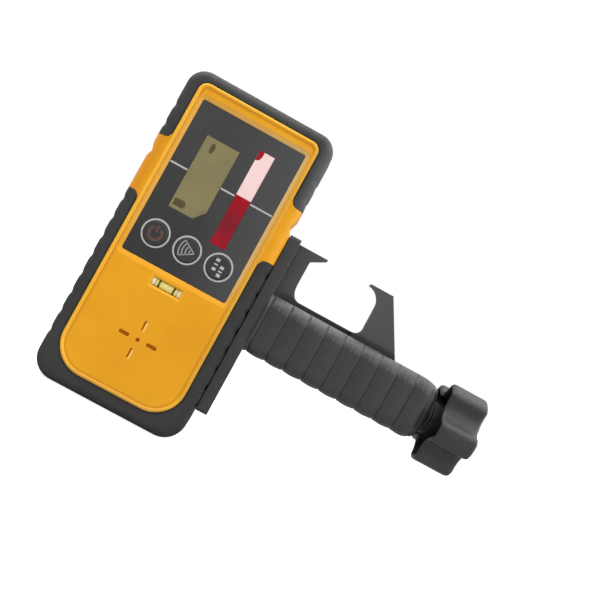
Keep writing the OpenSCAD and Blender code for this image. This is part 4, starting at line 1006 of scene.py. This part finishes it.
def grip_half(way):
    """Half of the grip: a closed section of outer skin and inner wall carried along X. It steps where the
    root ends, at both ends of the jaw's slot and at the end wall. Quarter ellipses round its knob end."""
    spans = [(GRIP_X0, ROOT_END), (ROOT_END, SLOT_X0), (SLOT_X0, SLOT_X1), (SLOT_X1, END_WALL_X)]
    lengths = [np.linspace(a, b, int((b - a) / 0.2) + 2) for a, b in spans]
    end_len, end_depth = GRIP_END
    lead_in = math.asin((END_WALL_X - GRIP_X1 + end_len) / end_len)
    lengths.append(GRIP_X1 - end_len + end_len * np.sin(np.linspace(lead_in, QUARTER, 24)))
    x = np.concatenate(lengths)[:, None]
    span = np.concatenate([np.full(len(part), i) for i, part in enumerate(lengths)])[:, None]
    in_root, in_slot, in_bore = span == 0, span == 2, span == 4
    slot_side = np.where(in_slot, SLOT_HALF, 0.0)
    pulled, pulled_top = end_round(x, end_len, end_depth), end_round(x, *GRIP_END_TOP)
    half_z = GRIP_Z_HALF - (pulled + pulled_top) / 2
    skin_y, skin_z = half_section(GRIP_Y_HALF - pulled, half_z, GRIP_R - 0.3 * pulled, slot_side)
    # Grooves draw the section towards its middle, and fade out along the rounded end
    drawn = groove_depth(x, skin_z / half_z) * (1 - end_share(x, end_len))
    skin_y = np.maximum(skin_y * (1 - drawn / GRIP_Y_HALF), np.where(skin_z > 0, slot_side, 0))
    skin_z = skin_z * (1 - drawn / GRIP_Z_HALF) + (pulled - pulled_top) / 2
    wall_y, wall_z = half_section(np.where(in_bore, END_BORE_R, GRIP_Y_HALF - GRIP_WALL),
                                  np.where(in_bore, END_BORE_R, GRIP_Z_HALF - GRIP_WALL),
                                  np.where(in_bore, END_BORE_R, GRIP_R - GRIP_WALL), slot_side,
                                  square=np.where(in_root, 1.0, 0.0))
    wall_z = wall_z + np.where(in_bore, SCREW_Z - GRIP_Z, 0)
    y = np.concatenate([skin_y, wall_y[:, ::-1]], 1) * way
    z = np.concatenate([skin_z, wall_z[:, ::-1]], 1) + GRIP_Z
    loops = np.stack([np.broadcast_to(x, y.shape), y, z], -1)
    steps, section = loops.shape[:2]
    rim = [[i, i + 1, section - 2 - i, section - 1 - i] for i in range(section // 2 - 1)]
    last = (steps - 1) * section
    faces = quads(steps, section) + rim + [[last + i for i in face[::-1]] for face in rim]
    return loops.reshape(-1, 3), faces


def screw_bores():
    """Holes over the heads of the grip's screws."""
    profile = [(GRIP_HEAD_Y, 0), (GRIP_HEAD_Y, GRIP_HEAD_BORE), (GRIP_HEAD_END, GRIP_HEAD_BORE),
               (GRIP_HEAD_END, 0)]
    return joined(*[revolved(profile, (x, 0, z), 1, steps=32) for x, z in GRIP_SCREWS])


make_piece("grip_front_shell", grip_half(-1), GRIP, replaced=("grip_front",), sharp=GRIP_SHARP)
grip_back = make_piece("grip_back_shell", grip_half(1), GRIP, replaced=("grip_back",),
                       sharp=GRIP_SHARP)
cut_holes(grip_back, screw_bores())
dressed("grip_screws", "grip_screw_heads", STEEL)
dressed("clamp_frame", "clamp_frame_moulding", CLAMP, bevel=0.25)
flange_pad = block(*FLANGE_PAD_X, FLANGE_LOW, FLANGE_TOP)
make_piece("flange_pad", slab(flange_pad, -FLANGE_PAD_HALF, FLANGE_PAD_HALF), RUBBER)
dressed("sliding_jaw", "sliding_jaw_moulding", CLAMP, body="jaw", bevel=0)
dressed("hub_washer", "hub_washer_ring", CLAMP, body="knob", bevel=0.2)
dressed("captive_washer", "captive_washer_ring", STEEL, body="thumb_washer", bevel=0.15)
dressed("clamp_thumbscrew", "thumbscrew_moulding", KNOB, body="thumbscrew", bevel=0.5)


def star_radius(turn, inset):
    """Distance of the star's edge from the axis at each angle, drawn in by the inset: the near side of a
    flute's circle, then the far side of the corner's circle that touches flute and rim, then the rim."""
    rim, flute = KNOB_R - inset, FLUTE_R + inset
    corner = max(LOBE_CORNER_R - inset, 0.3)
    flute_out = KNOB_R - FLUTE_DEPTH + FLUTE_R
    reach = rim - corner
    corner_angle = math.acos((reach ** 2 + flute_out ** 2 - (flute + corner) ** 2) / (2 * reach * flute_out))
    share = flute / (flute + corner)
    touch_x = flute_out + (reach * math.cos(corner_angle) - flute_out) * share
    touch_angle = math.atan2(reach * math.sin(corner_angle) * share, touch_x)
    pitch = 2 * PI / KNOB_LOBES
    away = np.abs((turn - FLUTE_ANGLE + pitch / 2) % pitch - pitch / 2)
    in_flute = flute_out * np.cos(away) - np.sqrt(np.maximum(flute ** 2 - (flute_out * np.sin(away)) ** 2, 0))
    off = away - corner_angle
    in_corner = reach * np.cos(off) + np.sqrt(np.maximum(corner ** 2 - (reach * np.sin(off)) ** 2, 0))
    return np.where(away < touch_angle, in_flute, np.where(away < corner_angle, in_corner, rim))


def star_knob():
    """Star knob: rings of one profile round the X axis, star shaped on the lobes and round on the hub. From
    the middle of the end face out, round the edge, along the lobes, into the hollow, and along the hub."""
    turn = np.linspace(0, 2 * PI, 400, endpoint=False)
    taper, taper_in, edge, edge_in, root = 3.3, 9.5, 1.8, 0.9, 0.8
    lip, lip_in = 2.0, 1.6
    insets = np.linspace(taper_in, edge_in, 12)
    star = [(KNOB_X1 - taper * (1 - inset / taper_in) ** 2, inset) for inset in insets]
    rim_x = star[-1][0]
    star += [(rim_x - edge * (1 - math.cos(a)), edge_in * (1 - math.sin(a)))
             for a in np.linspace(0, QUARTER, 7)]
    star += [(KNOB_X0 + lip * (1 - math.sin(a)), lip_in * (1 - math.cos(a)))
             for a in np.linspace(0, QUARTER, 6)]
    star += [(KNOB_X0 + 0.25, KNOB_WALL - 0.5), (KNOB_X0 + 0.8, KNOB_WALL), (KNOB_FLOOR - root, KNOB_WALL),
             (KNOB_FLOOR - 0.25 * root, KNOB_WALL + 0.25 * root), (KNOB_FLOOR, KNOB_WALL + root)]
    chamfer, bore = 0.4, JOURNAL_R + 0.02
    hub = [(KNOB_FLOOR, HUB_R + root), (KNOB_FLOOR - root, HUB_R), (HUB_X + chamfer, HUB_R),
           (HUB_X, HUB_R - chamfer), (HUB_X, bore), (KNOB_FLOOR, bore), (KNOB_FLOOR, 0)]
    rings = [(KNOB_X1, np.zeros_like(turn))]
    rings += [(x, star_radius(turn, inset)) for x, inset in star]
    rings += [(x, np.full_like(turn, r)) for x, r in hub]
    loops = [np.stack([np.full_like(turn, x), r * np.cos(turn), SCREW_Z + r * np.sin(turn)], 1)
             for x, r in rings]
    return np.concatenate(loops), quads(len(rings), len(turn))


def lead_screw():
    """Lead screw: turned pilot, collar and journal, and a left-hand thread whose radius follows a sawtooth of
    the place along the axis plus the turn round it."""
    centre = (0, 0, SCREW_Z)
    pilot = revolved([(PILOT_X, 0), (PILOT_X, PILOT_R - PILOT_CHAMFER), (PILOT_X + PILOT_CHAMFER, PILOT_R),
                      (THREAD_X, PILOT_R), (THREAD_X, 0)], centre, 0)
    journal = revolved([(COLLAR_X, 0), (COLLAR_X, COLLAR_R), (JOURNAL_X, COLLAR_R), (JOURNAL_X, JOURNAL_R),
                        (SCREW_END, JOURNAL_R), (SCREW_END, 0)], centre, 0)
    x = np.linspace(THREAD_X, COLLAR_X, int((COLLAR_X - THREAD_X) / LEAD * 8) + 1)[:, None]
    turn = np.linspace(0, 2 * PI, 32, endpoint=False)[None, :]
    wave = np.abs((x / LEAD + turn / (2 * PI)) % 1 - 0.5) * 2
    r = THREAD_R - THREAD_DEPTH * np.clip(1.4 * wave - 0.2, 0, 1)
    loops = np.stack([x + 0 * turn, r * np.cos(turn), SCREW_Z + r * np.sin(turn)], -1)
    return joined(pilot, skinned(loops), journal)


make_piece("star_knob_moulding", star_knob(), KNOB, body="knob", replaced=("star_knob",),
           sharp=KNOB_SHARP)
make_piece("threaded_screw", lead_screw(), STEEL, body="knob", replaced=("lead_screw",))

# Pieces that stay as CAD nodes, with finishes of their own
for material, *nodes in ((RUBBER, "housing_gasket"), (MODULE, "lcd_module"),
                         (BOARD, "photodiode_array", "main_board"), (CLEAR_END, "vial_cradle"),
                         (BUZZER, "buzzer"), (STEEL, "contact_plates", "knob_pin"),
                         (BRASS, "mount_insert", "jaw_nut", "inner_bush", "end_bush")):
    for node in nodes:
        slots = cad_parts[node].data.materials
        slots.clear()
        slots.append(material)


# Stage

def floor():
    """Pale flat floor under the bottom bumper, lifted to white for the camera."""
    mesh = bpy.data.meshes.new("floor")
    corners = np.array([(x, y, FLOOR_Z) for x, y in block(-FLOOR_HALF, FLOOR_HALF, -FLOOR_HALF, FLOOR_HALF)])
    mesh.from_pydata((corners * MM).tolist(), [], [[0, 1, 2, 3]])
    material, tree, shader = new_material("pale_floor")
    shader["Base Color"].default_value = (0.4, 0.4, 0.4, 1)
    shader["Roughness"].default_value = 0.9
    shader["Emission Color"].default_value = (1, 1, 1, 1)
    seen = add_node(tree, "LightPath").outputs["Is Camera Ray"]
    feed(tree, shader["Emission Strength"], product(tree, seen, FLOOR_GLOW))
    mesh.materials.append(material)
    linked("floor", mesh)


def soft_light(name, at, size, power):
    """Square area light that looks at the middle of the object; its place is in metres."""
    lamp = bpy.data.lights.new(name, "AREA")
    lamp.size = size
    lamp.energy = power
    obj = linked(name, lamp)
    obj.location = at
    middle = (cad_low + cad_high) / 2
    obj.rotation_euler = (middle - obj.location).to_track_quat("-Z", "Y").to_euler()


def studio():
    """White tent: plain white to the camera. For the light it is dim along Y, bright round the object in the
    XZ plane, and brighter on the right and above than on the left and below."""
    scene = bpy.context.scene
    scene.world = bpy.data.worlds.new("studio")
    scene.world.use_nodes = True
    tree = scene.world.node_tree
    background = tree.nodes["Background"].inputs
    way = split(tree, add_node(tree, "TexCoord").outputs["Generated"])
    ahead = product(tree, way["Y"], way["Y"])
    round_about = maths(tree, "MULTIPLY_ADD", ahead, -TENT_RING, TENT_DIM + TENT_RING)
    sided = maths(tree, "MULTIPLY_ADD", way["X"], TENT_RIGHT, 1.0)
    sided = maths(tree, "MULTIPLY_ADD", way["Z"], TENT_ABOVE, sided)
    seen = add_node(tree, "LightPath").outputs["Is Camera Ray"]
    feed(tree, background["Strength"], maths(tree, "MAXIMUM", seen, product(tree, round_about, sided)))
    background["Color"].default_value = (1, 1, 1, 1)
    soft_light("overhead", (-0.3, -0.05, 0.4), 0.35, 1.5)
    soft_light("front_right", (0.45, -0.75, 0.5), 0.6, 1.6)
    scene.view_settings.view_transform = "Standard"
    scene.cycles.use_denoising = True


def camera():
    """Camera on the photograph's side: it looks along +Y, turned a little right and up, and rolled."""
    view = bpy.data.cameras.new("camera")
    view.angle = CAMERA_FIELD
    view.clip_start, view.clip_end = 0.01, 20
    obj = linked("camera", view)
    turned = Matrix.Rotation(CAMERA_TURN, 3, "Z") @ Matrix.Rotation(QUARTER + CAMERA_LIFT, 3, "X")
    obj.location = np.array(CAMERA_AT) * MM
    obj.rotation_euler = (turned @ Matrix.Rotation(CAMERA_ROLL, 3, "Z")).to_euler()
    bpy.context.scene.camera = obj


floor()
studio()
camera()
